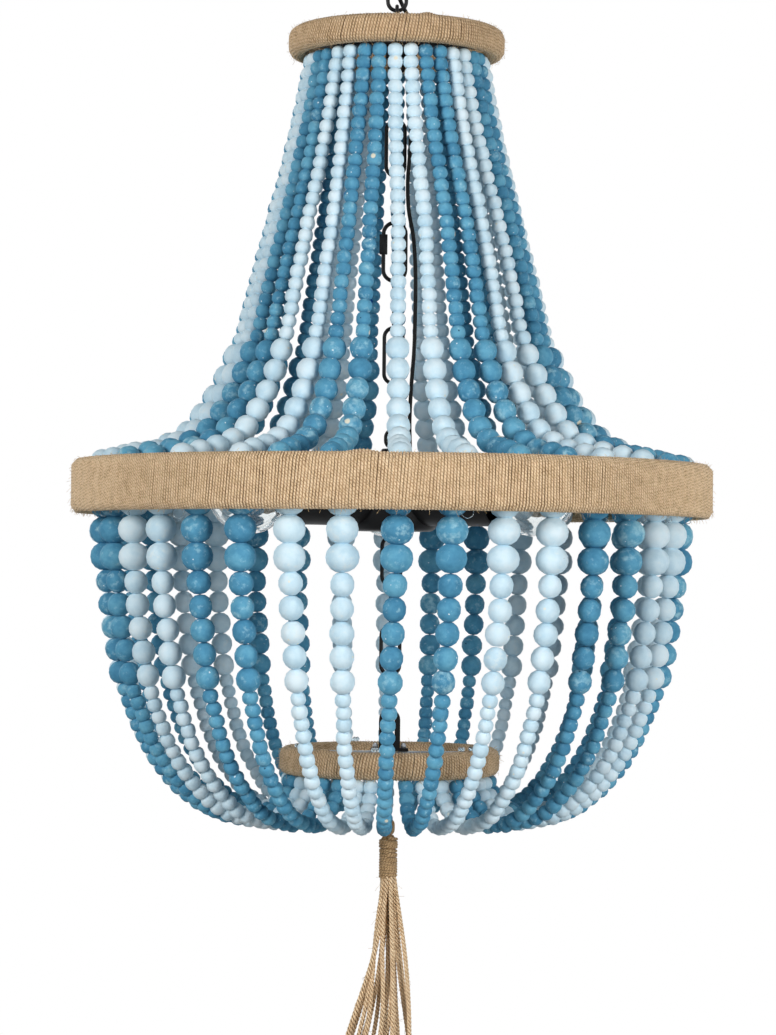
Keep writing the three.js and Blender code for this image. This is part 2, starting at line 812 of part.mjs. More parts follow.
// Sections of a strand from its string down. It starts with a plain run when runFirst is true, and
// ends with one when not. Seen along a rising strand they are turned round, so that a pair is one skin
function strand(curve, degrees, drift, beads, runSteps, runFirst, rising) {
  const length = curve.getLength();
  const beadLength = beads.reduce((sum, bead) => sum + bead.pitch, 0);
  const runLength = length - beadLength;
  const sections = [];
  const put = (along, radius, sides) => {
    const share = THREE.MathUtils.clamp(along / length, 0, 1);
    const out = towards(degrees + drift * THREE.MathUtils.smoothstep(share, 0, driftShare));
    const inPlane = ({ x, z }) => out.clone().multiplyScalar(x).setZ(z);
    const slope = curve.getTangentAt(share);
    const side = inPlane(new THREE.Vector3(-slope.z, 0, slope.x));
    const tangent = inPlane(rising ? slope.clone().negate() : slope);
    sections.push(section(inPlane(curve.getPointAt(share)), tangent, side, radius, sides, Math.PI / sides));
  };
  const putRun = (from, to) => {
    for (let step = 0; step <= runSteps; step += 1) {
      put(THREE.MathUtils.lerp(from, to, step / runSteps), (smallBead / 2) * runShare, neckSides);
    }
  };
  const putWaist = (at, size) => put(at, (size / 2) * neckShare, neckSides);
  let along = 0;
  if (runFirst) {
    putRun(smallPitch / 2, runLength - smallPitch / 2);
    along = runLength;
  }
  beads.forEach((bead) => {
    if (along > 0) putWaist(along, bead.size);
    put(along + bead.pitch / 2, bead.size / 2, bead.sides);
    along += bead.pitch;
  });
  putWaist(along, beads[beads.length - 1].size);
  if (!runFirst) {
    putRun(along + smallPitch / 2, length - smallPitch / 2);
    putWaist(length, smallBead);
  }
  return rising ? sections.reverse() : sections;
}

const row = (count, size, pitch, sides) => Array.from({ length: count }, () => ({ size, pitch, sides }));
const strandPitch = 360 / strandsInTier;
const pairs = strandsInTier / strandsInPair;

// A pair hangs on one string, which runs out of one strand, along the ring and into the other
function strandPair(curve, degrees, drifts, beads, runSteps, runFirst, stringRadiusPlace, stringHeight) {
  const ends = [degrees, degrees + strandPitch];
  const corners = ends.map((turn) => towards(turn).multiplyScalar(stringRadiusPlace).setZ(stringHeight));
  const across = corners[1].clone().sub(corners[0]).normalize();
  const bends = corners.map((corner, i) => {
    const tangent = across.clone().setZ(i === 0 ? 1 : -1).normalize();
    return section(corner, tangent, towards(ends[i]), stringRadius, neckSides, Math.PI / neckSides);
  });
  const up = strand(curve, ends[0], drifts[0], beads, runSteps, runFirst, true);
  const down = strand(curve, ends[1], drifts[1], beads, runSteps, runFirst, false);
  return skin([...up, ...bends, ...down], false);
}

// A ring's wall where a strand stands, which is turned by some degrees from a corner of its facets
function wallAt(radius, facets, turn) {
  return flatOf(radius, facets) / Math.cos(Math.PI / facets - THREE.MathUtils.degToRad(Math.abs(turn)));
}

// Upper tier: its strings lie against the inside of the top ring, and its strands end at the main ring
const stringFlat = flatOf(stringRadius, neckSides);
const upperTopRadius = topRingRadius - smallRingWidth - topHangInset;
const upperStringRadius = flatOf(topRingRadius - smallRingWidth, smallRingFacets) - fitGap - stringFlat;
const upperStringZ = topRingZ - topRingHeight / 2 + smallRingRounding * chamferShare + stringRadius;
const upperTopZ = topRingZ - topRingHeight / 2;
const mainInside = mainRingRadius - mainRingWidth;
const upperEndRadius = flatOf(mainInside, mainRingFacets) - fitGap;
const upperEndZ = mainRingZ + upperEndHeight;
const upperPath = strandCurve(
  upperShares.map(([outward, left]) => [
    upperTopRadius + outward * (upperEndRadius - upperTopRadius),
    upperEndZ + left * (upperTopZ - upperEndZ),
  ]),
);
const upperBeads = row(upperMediumBeads, mediumBead, mediumPitch, beadSides);

// Lower tier: its strings lie against the inside of the main ring, and its strands end under the bottom ring
const lowerWall = wallAt(mainInside, mainRingFacets, lowerTurn) - fitGap;
const lowerTopRadius = lowerWall - largeBead / 2;
const lowerTopZ = mainRingZ - lowerStartDepth + largePitch / 2;
const lowerEndRadius = bottomRingRadius - smallRingWidth / 2;
const lowerEndZ = bottomRingZ - bottomRingHeight / 2 - fitGap;
const lowestZ = lowerEndZ - basketDip - smallPitch / 2;
const inward = (share) => lowerTopRadius + share * (lowerEndRadius - lowerTopRadius);
const lowerPath = strandCurve([
  ...fallShares.map(([inwardShare, dropShare]) => [inward(inwardShare), lowerTopZ + dropShare * (lowestZ - lowerTopZ)]),
  ...riseShares.map(([inwardShare, dipShare]) => [inward(inwardShare), lowerEndZ + dipShare * (lowestZ - lowerEndZ)]),
]);
const lowerBeads = [
  ...row(lowerLargeBeads, largeBead, largePitch, largeBeadSides),
  ...row(lowerMediumBeads, mediumBead, mediumPitch, beadSides),
];
const lowerStringRadius = lowerWall - stringFlat;

for (let pair = 0; pair < pairs; pair += 1) {
  const label = String(pair + 1).padStart(2, "0");
  const turn = pair * strandsInPair * strandPitch;
  const upperPair = strandPair(
    upperPath,
    turn + upperTurn,
    upperDrifts.slice(pair * strandsInPair, (pair + 1) * strandsInPair),
    upperBeads,
    upperRunSteps,
    true,
    upperStringRadius,
    upperStringZ,
  );
  const lowerPair = strandPair(
    lowerPath,
    turn + lowerTurn,
    [0, 0],
    lowerBeads,
    lowerRunSteps,
    false,
    lowerStringRadius,
    lowerTopZ + stringRadius,
  );
  add(chandelier, `upper_strands_${label}`, upperPair, pair % 2 === 0 ? paleBlue : steelBlue);
  add(chandelier, `lower_strands_${label}`, lowerPair, pair % 2 === 0 ? steelBlue : paleBlue);
}

// Tassel: it hangs on a loop of cord from the eye under the bottom ring's strap
const hangerSeat = hangerWire + fitGap;
const hangerTop = tasselBar + hangerSeat;
const hangerBar = hangerTop - hangerLength + hangerWire;
const tasselLoopTop = hangerBar + hangerSeat;
add(
  chandelier,
  "tassel_hanger",
  wireLoop(hangerLength, hangerWidth, hangerWire, alongY, hangerTop, movingBendSteps),
  jute,
);
const neckTop = tasselLoopTop + hangerWire / 2 - tasselLoopLength + sink;
const neckBottom = neckTop - neckLength;
const neckProfile = [
  [0, neckBottom],
  [neckRadius, neckBottom],
  [neckRadius, neckTop],
  [0, neckTop],
];

// The whipping is one unbroken yarn round the neck, half sunk in it
const whippingTurns = Math.floor((neckLength - 2 * whippingYarn) / whippingPitch);
const whippingTop = neckTop - whippingYarn;
const whippingAngle = (i) => (2 * Math.PI * i) / whippingSteps;
const whippingPoints = Array.from({ length: whippingTurns * whippingSteps + 1 }, (_, i) => {
  const across = neckRadius - sink / 2;
  const height = whippingTop - (whippingPitch * i) / whippingSteps;
  return new THREE.Vector3(across * Math.sin(whippingAngle(i)), -across * Math.cos(whippingAngle(i)), height);
});
const whippingSections = whippingPoints.map((centre, i) => {
  const out = new THREE.Vector3(Math.sin(whippingAngle(i)), -Math.cos(whippingAngle(i)), 0);
  const tangent = new THREE.Vector3(-out.y, out.x, -whippingPitch / (2 * Math.PI * neckRadius));
  return section(centre, tangent.normalize(), out, whippingYarn / 2, whippingSides, 0);
});
const whippingGaps = whippingPoints.flatMap((point, i) =>
  whippingPoints.slice(i + Math.ceil(whippingSteps / 2)).map((other) => point.distanceTo(other) - whippingYarn),
);
console.log(`least gap in the whipping ${Math.min(...whippingGaps).toFixed(2)} mm`);

// One cord of the skirt, from inside the neck out to the hem
function skirtCord(degrees, gather, spread) {
  const out = towards(degrees);
  const side = new THREE.Vector3(-out.y, out.x, 0);
  const place = (share) => {
    const centre = out.clone().multiplyScalar(THREE.MathUtils.lerp(gather, spread, share));
    centre.x -= skirtLean * share * share;
    return centre.setZ(neckBottom + sink - share * (skirtLength + sink));
  };
  const sections = Array.from({ length: skirtSteps + 1 }, (_, step) => {
    const share = step / skirtSteps;
    const tangent = new THREE.Vector3(0, 0, -1);
    return section(place(share), tangent, side, skirtCordRadius, skirtSides, 0);
  });
  return skin(sections, false);
}

const tassel = joined(
  turned(neckProfile, whippingSteps),
  skin(whippingSections, false),
  wireLoop(tasselLoopLength, tasselLoopWidth, hangerWire, alongX, tasselLoopTop, movingBendSteps),
  ...Array.from({ length: outerCords }, (_, i) => skirtCord((360 * i) / outerCords, outerGather, outerSpread)),
  ...Array.from({ length: innerCords }, (_, i) => skirtCord((360 * i) / innerCords, innerGather, innerSpread)),
);
add(chandelier, "tassel", tassel, jute);

export default model;
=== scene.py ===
# %% [markdown]
# # A beaded chandelier
# Two tiers of strung wooden beads hang between three rings bound with jute. A chain and a black cord come down
# from the ceiling, three lamps stand level inside, and a jute tassel hangs below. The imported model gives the
# frame: every piece goes where its solid is, in metres, with +Z up.

# %% Load the frame
from math import atan, copysign, cos, degrees, exp, pi, radians, sin, sqrt, tau
from random import choice, random, seed, uniform

import bmesh
import bpy
from mathutils import Matrix, Vector
from mathutils.kdtree import KDTree


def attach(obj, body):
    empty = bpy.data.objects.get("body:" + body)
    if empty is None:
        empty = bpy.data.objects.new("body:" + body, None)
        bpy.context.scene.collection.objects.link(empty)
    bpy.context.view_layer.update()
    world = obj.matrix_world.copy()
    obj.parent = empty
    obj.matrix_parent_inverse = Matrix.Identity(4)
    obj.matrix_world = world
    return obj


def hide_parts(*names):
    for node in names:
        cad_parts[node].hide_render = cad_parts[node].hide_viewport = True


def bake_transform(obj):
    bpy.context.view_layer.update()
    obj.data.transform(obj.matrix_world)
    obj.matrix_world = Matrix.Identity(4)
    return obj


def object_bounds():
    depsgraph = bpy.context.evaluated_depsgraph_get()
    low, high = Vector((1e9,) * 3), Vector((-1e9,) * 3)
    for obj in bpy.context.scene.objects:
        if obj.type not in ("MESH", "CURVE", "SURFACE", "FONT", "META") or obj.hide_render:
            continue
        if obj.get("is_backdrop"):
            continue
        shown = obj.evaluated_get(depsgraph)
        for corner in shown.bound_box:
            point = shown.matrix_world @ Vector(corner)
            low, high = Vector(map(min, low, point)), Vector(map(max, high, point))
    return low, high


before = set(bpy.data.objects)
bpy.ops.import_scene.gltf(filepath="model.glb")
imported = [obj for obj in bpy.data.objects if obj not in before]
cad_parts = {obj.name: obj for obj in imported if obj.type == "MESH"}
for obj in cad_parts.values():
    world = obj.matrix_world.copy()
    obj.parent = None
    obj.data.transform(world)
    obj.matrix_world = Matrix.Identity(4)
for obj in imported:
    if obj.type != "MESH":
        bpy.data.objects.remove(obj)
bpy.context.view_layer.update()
scene = bpy.context.scene
mm = 0.001

# %% [markdown]
# ## Camera
# The photograph looks almost level at the chandelier from 2.4 m away. The lens follows from that distance: at the
# axis one pixel of the photograph is 0.8 mm wide, so the camera stands 3000 pixels away. The horizon lies a
# little under the picture's middle, which tilts the camera up, and the chandelier hangs a little askew.


# %% Set the camera
def add_object(name, data):
    """A new object in the scene."""
    made = bpy.data.objects.new(name, data)
    scene.collection.objects.link(made)
    return made


picture_height = 1035
pixels_away = 3000
horizon_below_middle = 55.5
camera_data = bpy.data.cameras.new("camera")
camera_data.sensor_width = 36
camera_data.lens = camera_data.sensor_width * pixels_away / picture_height
camera = add_object("camera", camera_data)
camera_place = (-3 * mm, -2400 * mm, -576.9 * mm)
camera.matrix_world = (
    Matrix.Translation(camera_place)
    @ Matrix.Rotation(pi / 2 + atan(horizon_below_middle / pixels_away), 4, "X")
    @ Matrix.Rotation(radians(0.6), 4, "Z")
)
scene.camera = camera
print("lens", round(camera_data.lens, 2), "mm")

# %% [markdown]
# ## Nodes and colours
# A material is a graph of nodes. One small function adds a node with its settings and links, and another turns
# a screen colour into the linear light that the shader works with.


# %% Add nodes and colours
def linear(colour):
    """The linear RGBA of an sRGB hex value."""
    channels = [int(colour[i : i + 2], 16) / 255 for i in (1, 3, 5)]
    return [c / 12.92 if c <= 0.04045 else ((c + 0.055) / 1.055) ** 2.4 for c in channels] + [1]


def set_inputs(node, *values, **inputs):
    """Sets a node's inputs, in order or by name. Each is a value, a socket or a node, whose first output is meant.

    A name is that in the editor, with _ for a space, or _ and a number where names repeat.
    """
    for name, value in [*enumerate(values), *inputs.items()]:
        if isinstance(name, str):
            name = int(name[1:]) if name[0] == "_" else name.replace("_", " ")
        socket = node.inputs[name]
        if isinstance(value, bpy.types.Node):
            value = value.outputs[0]
        if isinstance(value, bpy.types.NodeSocket):
            node.id_data.links.new(value, socket)
        else:
            socket.default_value = value


def add_node(tree, kind, settings=None, *values, stops=(), **inputs):
    """Adds a node. Settings are its own properties, or just its operation, and stops those of a colour ramp."""
    made = tree.nodes.new("ShaderNode" + kind)
    if isinstance(settings, str):
        settings = {"operation": settings}
    for name, value in (settings or {}).items():
        setattr(made, name, value)
    for _ in stops[2:]:
        made.color_ramp.elements.new(0.5)
    for number, (place, colour) in enumerate(stops):
        element = made.color_ramp.elements[number]
        element.position, element.color = place, linear(colour)
    set_inputs(made, *values, **inputs)
    return made


def start_material(name):
    """A new material, its node tree, its shader and the place on the object that it colours."""
    material = bpy.data.materials.new(name)
    material.use_nodes = True
    tree = material.node_tree
    return material, tree, tree.nodes["Principled BSDF"], add_node(tree, "TexCoord").outputs["Object"]


# %% [markdown]
# ## Painted beads
# The beads are turned from beech and dipped in chalk paint, which is matt, so its roughness is high and it has
# no coat. Each bead carries its tone and its wear as numbers in attributes. The steel blue is cloudy and
# speckled. Here and there the paint is chipped to the pale wood, and a few beads have a drop of strong dye or a
# dark knot. The marks are cells of a Voronoi texture: few are chosen, and each is marked near its middle.


# %% Make the paints
def chalk_paint(name, tints, cloudy, cloud_start, marks):
    """Chalk paint on wood. A mark is cells to the metre, its part of a cell, the share of cells and its colour."""
    material, tree, shader, place = start_material(name)
    tone = add_node(tree, "Attribute", {"attribute_name": "bead_tone"}).outputs["Fac"]
    wear = add_node(tree, "Attribute", {"attribute_name": "bead_wear"}).outputs["Fac"]
    # the tint drifts over 8 mm
    drift = add_node(tree, "TexNoise", Vector=place, Scale=125, Detail=3, Roughness=0.6)
    tint = add_node(tree, "Math", "MULTIPLY_ADD", tone, 0.42, drift)
    colour = add_node(tree, "ValToRGB", stops=tints, Fac=tint)
    # pale clouds are 3 to 6 mm across, and worn beads have more of them
    cloud = add_node(tree, "TexNoise", Vector=place, Scale=190, Detail=5, Roughness=0.62)
    reach = add_node(tree, "Math", "MULTIPLY_ADD", wear, 0.14, cloud)
    haze = add_node(tree, "MapRange", Value=reach, From_Min=cloud_start, From_Max=cloud_start + 0.2, To_Max=0.8)
    colour = add_node(tree, "Mix", {"data_type": "RGBA"}, _0=haze, _6=colour, _7=linear(cloudy)).outputs[2]
    # the edges of the marks stray by up to 0.6 mm
    ragged = add_node(
        tree, "VectorMath", "MULTIPLY_ADD",
        add_node(tree, "TexNoise", Vector=place, Scale=800, Detail=2).outputs["Color"],
        (1.2 * mm, 1.2 * mm, 1.2 * mm), place,
    )
    dents = []
    for cells_to_metre, part, share, mark_colour in marks:
        cells = add_node(tree, "TexVoronoi", Vector=ragged, Scale=cells_to_metre)
        pick = add_node(tree, "SeparateColor", Color=cells.outputs["Color"])
        worn = add_node(tree, "Math", "MULTIPLY_ADD", wear, share, pick)
        chosen = add_node(tree, "Math", "GREATER_THAN", worn, 1 - share)
        inside = add_node(tree, "MapRange", Value=cells, From_Min=part, From_Max=part * 0.75)
        mark = add_node(tree, "Math", "MULTIPLY", chosen, inside)
        dents.append(mark)
        colour = add_node(tree, "Mix", {"data_type": "RGBA"}, _0=mark, _6=colour, _7=linear(mark_colour)).outputs[2]
    # the chalk's grain is about 0.7 mm, and the first kind of mark is a chip that lies under the paint
    grain = add_node(tree, "TexNoise", Vector=place, Scale=1400, Detail=2)
    height = add_node(tree, "Math", "MULTIPLY_ADD", dents[0], -1.5, grain)
    bump = add_node(tree, "Bump", Height=height, Strength=0.4, Distance=0.25 * mm)
    set_inputs(shader, Base_Color=colour, Normal=bump, Roughness=0.75, Specular_IOR_Level=0.3)
    return material


# chips 4 mm across, pale spots of 2 mm and dark knots of 1 mm
pale_paint = chalk_paint(
    "pale blue chalk paint", [(0.4, "#bddbea"), (0.7, "#d0e8f3"), (0.95, "#dceef6")], "#deebee", 0.62,
    [(70, 0.13, 0.02, "#e9e6d4"), (150, 0.17, 0.05, "#e4e8dc"), (110, 0.06, 0.02, "#5c7684")],
)
# chips 5 mm across, pale specks of 1.3 mm, drops of dye of 9 mm and dark knots of 1.7 mm
blue_marks = [(62, 0.16, 0.05, "#e0dcc8"), (330, 0.22, 0.04, "#dcebee")]
blue_marks += [(48, 0.22, 0.02, "#0f5cab"), (120, 0.1, 0.035, "#1c4a63")]
blue_paint = chalk_paint(
    "steel blue chalk paint", [(0.4, "#3f7fa1"), (0.7, "#5094b5"), (0.95, "#65a7c3")], "#a3cfdc", 0.575, blue_marks
)
print("paints:", pale_paint.name, "and", blue_paint.name)

# %% [markdown]
# ## Jute yarn
# The rings are bound with two-ply jute yarn, matt and fibrous, whose plies show as slanting ridges. The wave of the
# ridges raises the bumps and darkens the colour between them as painted shade, a dark line in the grooves. The yarn
# is a tube whose UV map runs along it in X and round it in Y, so the ridges are a wave of both. The map doesn't
# know the yarn's length, so each material has its own number of ridges.


# %% Make the jute
def jute_yarn(name, ridges, plies, tints, depth, painted_shade_attribute=None):
    """Jute yarn with that many ridges from end to end, and the depth of its bumps.

    The last argument names an attribute that is 0 where the yarn meets its neighbours; there painted shade darkens
    the colour and the bumps sink. Yarn without ridges gets its form from the mesh.
    """
    material, tree, shader, place = start_material(name)
    tube_place = add_node(tree, "SeparateXYZ", Vector=place.node.outputs["UV"])
    # the twist is uneven: the ridges wander by up to one of them over 4 mm
    uneven = add_node(tree, "TexNoise", Vector=place, Scale=250, Detail=2)
    wander = add_node(tree, "Math", "MULTIPLY", uneven, 5.0 if ridges else 0.0)
    x, y = tube_place.outputs["X"], tube_place.outputs["Y"]
    along = add_node(tree, "Math", "MULTIPLY_ADD", x, ridges * pi, wander)
    phase = add_node(tree, "Math", "MULTIPLY_ADD", y, plies * pi, along)
    wave = add_node(tree, "Math", "COSINE", phase)
    ridge = add_node(tree, "Math", "ABSOLUTE", wave)
    # painted shade: the ridge is cut down where the yarn meets its neighbours, darkening the colour there
    if painted_shade_attribute:
        painted_crest_shade = add_node(tree, "Attribute", {"attribute_name": painted_shade_attribute}).outputs["Fac"]
        ridge = add_node(tree, "Math", "MINIMUM", ridge, painted_crest_shade)
    # fibres of 0.1 mm are drawn 1 mm coarse, so that they show, and the tint drifts over 7 mm
    fibre = add_node(tree, "TexNoise", Vector=place, Scale=1000, Detail=3, Roughness=0.7)
    drift = add_node(tree, "TexNoise", Vector=place, Scale=140, Detail=3)
    slight = add_node(tree, "MapRange", Value=drift, To_Min=0.25, To_Max=0.75)
    tint = add_node(tree, "Math", "MULTIPLY_ADD", fibre, 0.6, slight)
    # painted shade: the ridge wave darkens the colour in the grooves between plies; the fibres and the drift are the
    # jute's own tint
    tint_and_painted_groove_shade = add_node(tree, "Math", "MULTIPLY_ADD", ridge, 0.55, tint)
    level = add_node(tree, "MapRange", Value=tint_and_painted_groove_shade, From_Min=0.55, From_Max=1.65)
    colour = add_node(tree, "ValToRGB", stops=tints, Fac=level)
    height = add_node(tree, "Math", "MULTIPLY_ADD", fibre, 0.4, ridge)
    bump = add_node(tree, "Bump", Height=height, Strength=0.8, Distance=depth)
    set_inputs(shader, Base_Color=colour, Normal=bump, Roughness=0.92, Specular_IOR_Level=0.2)
    set_inputs(shader, Sheen_Weight=0.15, Sheen_Roughness=0.5)
    return material


# %% [markdown]
# ## Metal, glass and cord
# The chain, canopy and lamp body are steel with a satin black powder coat, which is paint and so not metallic.
# The bottom frame and the ceiling bar are zinc-plated and dull. The bulbs are brass and clear glass, the threads
# nylon, the cord's sheath black PVC, and the main ring's hoop raw bent beech. Coat and sheath are smooth with a
# dull gleam, brass is warm and shiny, glass and nylon show faint ripples, and raw wood is matt with a fine grain.
# None of these needs a picture: a noise or a Voronoi pattern at the size of the real grain is enough.


# %% Make the hard finishes
def powder_coat(name, colour, worn, roughness):
    """Powder coat or plastic: smooth, with a faint orange peel of about 1 mm, and paler here and there."""
    material, tree, shader, place = start_material(name)
    # the paler clouds are 17 mm across
    cloud = add_node(tree, "TexNoise", Vector=place, Scale=60, Detail=4)
    colour = add_node(tree, "ValToRGB", stops=[(0.35, colour), (0.8, worn)], Fac=cloud)
    rough = add_node(tree, "MapRange", Value=cloud, To_Min=roughness - 0.07, To_Max=roughness + 0.12)
    peel = add_node(tree, "TexNoise", Vector=place, Scale=900, Detail=1)
    bump = add_node(tree, "Bump", Height=peel, Strength=0.15, Distance=0.1 * mm)
    set_inputs(shader, Base_Color=colour, Normal=bump, Roughness=rough, Specular_IOR_Level=0.2)
    return material


black_coat = powder_coat("black powder coat on steel", "#050506", "#0e0e10", 0.42)
black_sheath = powder_coat("black PVC sheath", "#040404", "#0b0b0b", 0.5)


def plated(name, low, high, roughness, grain):
    """Plated or drawn metal, with that many crystals to the metre."""
    material, tree, shader, place = start_material(name)
    crystals = add_node(tree, "TexVoronoi", Vector=place, Scale=grain).outputs["Color"]
    value = add_node(tree, "SeparateColor", Color=crystals)
    colour = add_node(tree, "ValToRGB", stops=[(0.0, low), (1.0, high)], Fac=value)
    rough = add_node(tree, "MapRange", Value=value, To_Min=roughness - 0.08, To_Max=roughness + 0.08)
    set_inputs(shader, Base_Color=colour, Roughness=rough, Metallic=1.0)
    return material


# the zinc's crystals are 4 mm wide, and the brass's are drawn 1 mm coarse, so that they show
zinc = plated("zinc-plated steel", "#707377", "#989b9e", 0.42, 260)
brass = plated("drawn brass", "#b8935a", "#d2b071", 0.3, 900)


def clear(name, colour, ior, waves, depth):
    """A clear material with ripples in its surface, that many to the metre."""
    material, tree, shader, place = start_material(name)
    ripple = add_node(tree, "TexNoise", Vector=place, Scale=waves)
    bump = add_node(tree, "Bump", Height=ripple, Strength=0.4, Distance=depth)
    set_inputs(shader, Base_Color=linear(colour), Normal=bump, Roughness=0.02, IOR=ior, Transmission_Weight=1.0)
    return material


# the glass ripples over 22 mm and the nylon over 5 mm
glass = clear("clear blown glass", "#f6f9f9", 1.5, 45, 1 * mm)
nylon = clear("clear nylon", "#b9c6cc", 1.53, 200, 0.1 * mm)

bent_wood, wood_tree, wood_shader, wood_place = start_material("raw bent beech")
# the dark and the pale bands of the grain are 1.5 mm wide each, and they wander over 17 mm
grain_noise = add_node(wood_tree, "TexNoise", Vector=wood_place, Scale=60, Detail=3)
grain_waves = add_node(
    wood_tree, "TexWave", {"bands_direction": "Z"}, Vector=wood_place, Scale=100, Distortion=6,
    Phase_Offset=grain_noise,
)
wood_stops = [(0.2, "#8a6b45"), (0.8, "#b39366")]
wood_colour = add_node(wood_tree, "ValToRGB", stops=wood_stops, Fac=grain_waves.outputs["Fac"])
set_inputs(wood_shader, Base_Color=wood_colour, Roughness=0.7)
for node_name, finish in (("ceiling_bar", zinc), ("clevis", black_coat), ("main_ring_hoop", bent_wood)):
    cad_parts[node_name].material_slots[0].material = finish
print("finishes:", [m.name for m in (black_coat, black_sheath, zinc, brass, glass, nylon, bent_wood)])

# %% [markdown]
# ## Finishing a piece
# Each piece ends as one mesh whose object sits at the origin. The next functions turn a bmesh into an object,
# make it ride on its body and hide the solid that it stands for.


# %% Finish pieces
def mesh_of(name, shape):
    """The mesh of a bmesh, which is freed."""
    mesh = bpy.data.meshes.new(name)
    shape.to_mesh(mesh)
    shape.free()
    return mesh


def mark_points(piece, name, values):
    """Keeps a number for each point of a piece, for its material."""
    piece.data.attributes.new(name, "FLOAT", "POINT").data.foreach_set("value", values)


def finish_piece(name, shape, look, body="chandelier", stands=True, smooth=40):
    """The object of a bmesh on its body. Its look is a material and a slot name, which is not used.

    It stands for the solid of its name, or for none. Edges over smooth degrees stay sharp.
    """
    material, slot = look
    mesh = mesh_of(name, shape)
    mesh.polygons.foreach_set("use_smooth", [True] * len(mesh.polygons))
    mesh.set_sharp_from_angle(angle=radians(smooth))
    mesh.materials.append(material)
    piece = add_object(name, mesh)
    place_piece(piece, body, [name] if stands else ())
    return piece


def place_piece(piece, body, replaced=()):
    """Makes a piece ride on its body and hides the solids that it stands for."""
    if body:
        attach(piece, body)
    if replaced:
        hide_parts(*replaced)


def close_seams(shape, before, gap):
    """Merges what is new in a shape where it meets itself, and turns its faces outward."""
    made = [v for v in shape.verts if v not in before]
    bmesh.ops.remove_doubles(shape, verts=made, dist=gap)
    made = [v for v in shape.verts if v not in before]
    bmesh.ops.recalc_face_normals(shape, faces=list({f for v in made for f in v.link_faces}))
    return made


def turned(shape, profile, steps=48, matrix=None, unit=mm):
    """Turns a profile of radius and height pairs about Z. It starts and ends on the axis, or closes on itself."""
    corners = [shape.verts.new((radius * unit, 0, height * unit)) for radius, height in profile]
    edges = [shape.edges.new(pair) for pair in zip(corners, corners[1:])]
    before = set(shape.verts) - set(corners)
    bmesh.ops.spin(
        shape, geom=corners + edges, cent=(0, 0, 0), axis=(0, 0, 1), angle=tau, steps=steps, use_merge=True
    )
    made = close_seams(shape, before, 0.002 * mm)
    if matrix:
        bmesh.ops.transform(shape, matrix=matrix, verts=made)


def arc(centre_radius, centre_height, radius, start, end, steps):
    """Points of an arc of a profile, from start to end degrees."""
    angles = [radians(start + (end - start) * i / steps) for i in range(steps + 1)]
    return [(centre_radius + radius * cos(a), centre_height + radius * sin(a)) for a in angles]


def wire_loop(shape, length, width, wire, across, top_bar, steps=12, sides=10):
    """A stadium of round wire, all in mm, whose upper bar's centre lies at the height top_bar."""
    length, width, wire, top_bar = length * mm, width * mm, wire * mm, top_bar * mm
    across = Vector(across)
    bend = (width - wire) / 2
    straight = length - wire - 2 * bend
    upper_centre = Vector((0, 0, top_bar - bend))
    lower_centre = upper_centre - Vector((0, 0, straight))
    before = set(shape.verts)
    ring = bmesh.ops.create_circle(
        shape, segments=sides, radius=wire / 2, matrix=Matrix.Translation(lower_centre + across * bend)
    )["verts"]
    axis = across.cross(Vector((0, 0, 1)))
    for centre, way in ((upper_centre, 1), (lower_centre, -1)):
        edges = list({e for v in ring for e in v.link_edges if all(w in ring for w in e.verts)})
        grown = bmesh.ops.extrude_edge_only(shape, edges=edges)["geom"]
        ring = [g for g in grown if isinstance(g, bmesh.types.BMVert)]
        bmesh.ops.translate(shape, verts=ring, vec=(0, 0, straight * way))
        edges = [g for g in grown if isinstance(g, bmesh.types.BMEdge) and all(w in ring for w in g.verts)]
        bent = bmesh.ops.spin(shape, geom=ring + edges, cent=centre, axis=axis, angle=pi, steps=steps)
        ring = [g for g in bent["geom_last"] if isinstance(g, bmesh.types.BMVert)]
    close_seams(shape, before, 0.01 * mm)


def soften(shape, edges, bevel):
    """Rounds edges off, by that many mm."""
    bmesh.ops.bevel(
        shape, geom=edges, offset=bevel * mm, offset_type="OFFSET", affect="EDGES", segments=2, profile=0.5, material=-1
    )


def rod(shape, radius, low, high, x=0.0, sides=24, bevel=0.4):
    """An upright rod with softened rims, all in mm."""
    made = bmesh.ops.create_cone(
        shape, cap_ends=True, segments=sides, radius1=radius * mm, radius2=radius * mm, depth=(high - low) * mm,
        matrix=Matrix.Translation((x * mm, 0, (low + high) / 2 * mm)),
    )["verts"]
    edges = {e for v in made for e in v.link_edges}
    soften(shape, [e for e in edges if abs(e.verts[0].co.z - e.verts[1].co.z) < 1e-7], bevel)


def block(shape, size, centre, bevel=0.5):
    """A block with softened edges, all in mm."""
    matrix = Matrix.Scale(mm, 4) @ Matrix.Translation(centre) @ Matrix.Diagonal((*size, 1))
    made = bmesh.ops.create_cube(shape, size=1, matrix=matrix)["verts"]
    soften(shape, list({e for v in made for e in v.link_edges}), bevel)


# %% [markdown]
# ## Yarn and cord
# Each yarn is drawn as a curve with a round section and then made a mesh. The tube gets a UV map that follows
# it, which the twist needs.


# %% Draw tubes
def tube(name, lines, radius, material, rounds=1, closed=False):
    """A mesh tube along each line of points. Rounds of 0, 1 and 2 give it 4, 6 and 8 sides."""
    curve = bpy.data.curves.new(name, "CURVE")
    curve.dimensions = "3D"
    curve.bevel_depth = radius
    curve.bevel_resolution = rounds
    curve.use_fill_caps = not closed
    for line in lines:
        spline = curve.splines.new("POLY")
        spline.points.add(len(line) - 1)
        spline.points.foreach_set("co", [c for point in line for c in (*point, 1)])
        spline.use_cyclic_u = closed
    drawn = add_object(name + " line", curve)
    bpy.context.view_layer.update()
    mesh = bpy.data.meshes.new_from_object(drawn.evaluated_get(bpy.context.evaluated_depsgraph_get()))
    bpy.data.objects.remove(drawn)
    bpy.data.curves.remove(curve)
    mesh.name = name
    mesh.polygons.foreach_set("use_smooth", [True] * len(mesh.polygons))
    mesh.materials.clear()
    mesh.materials.append(material)
    return add_object(name, mesh)


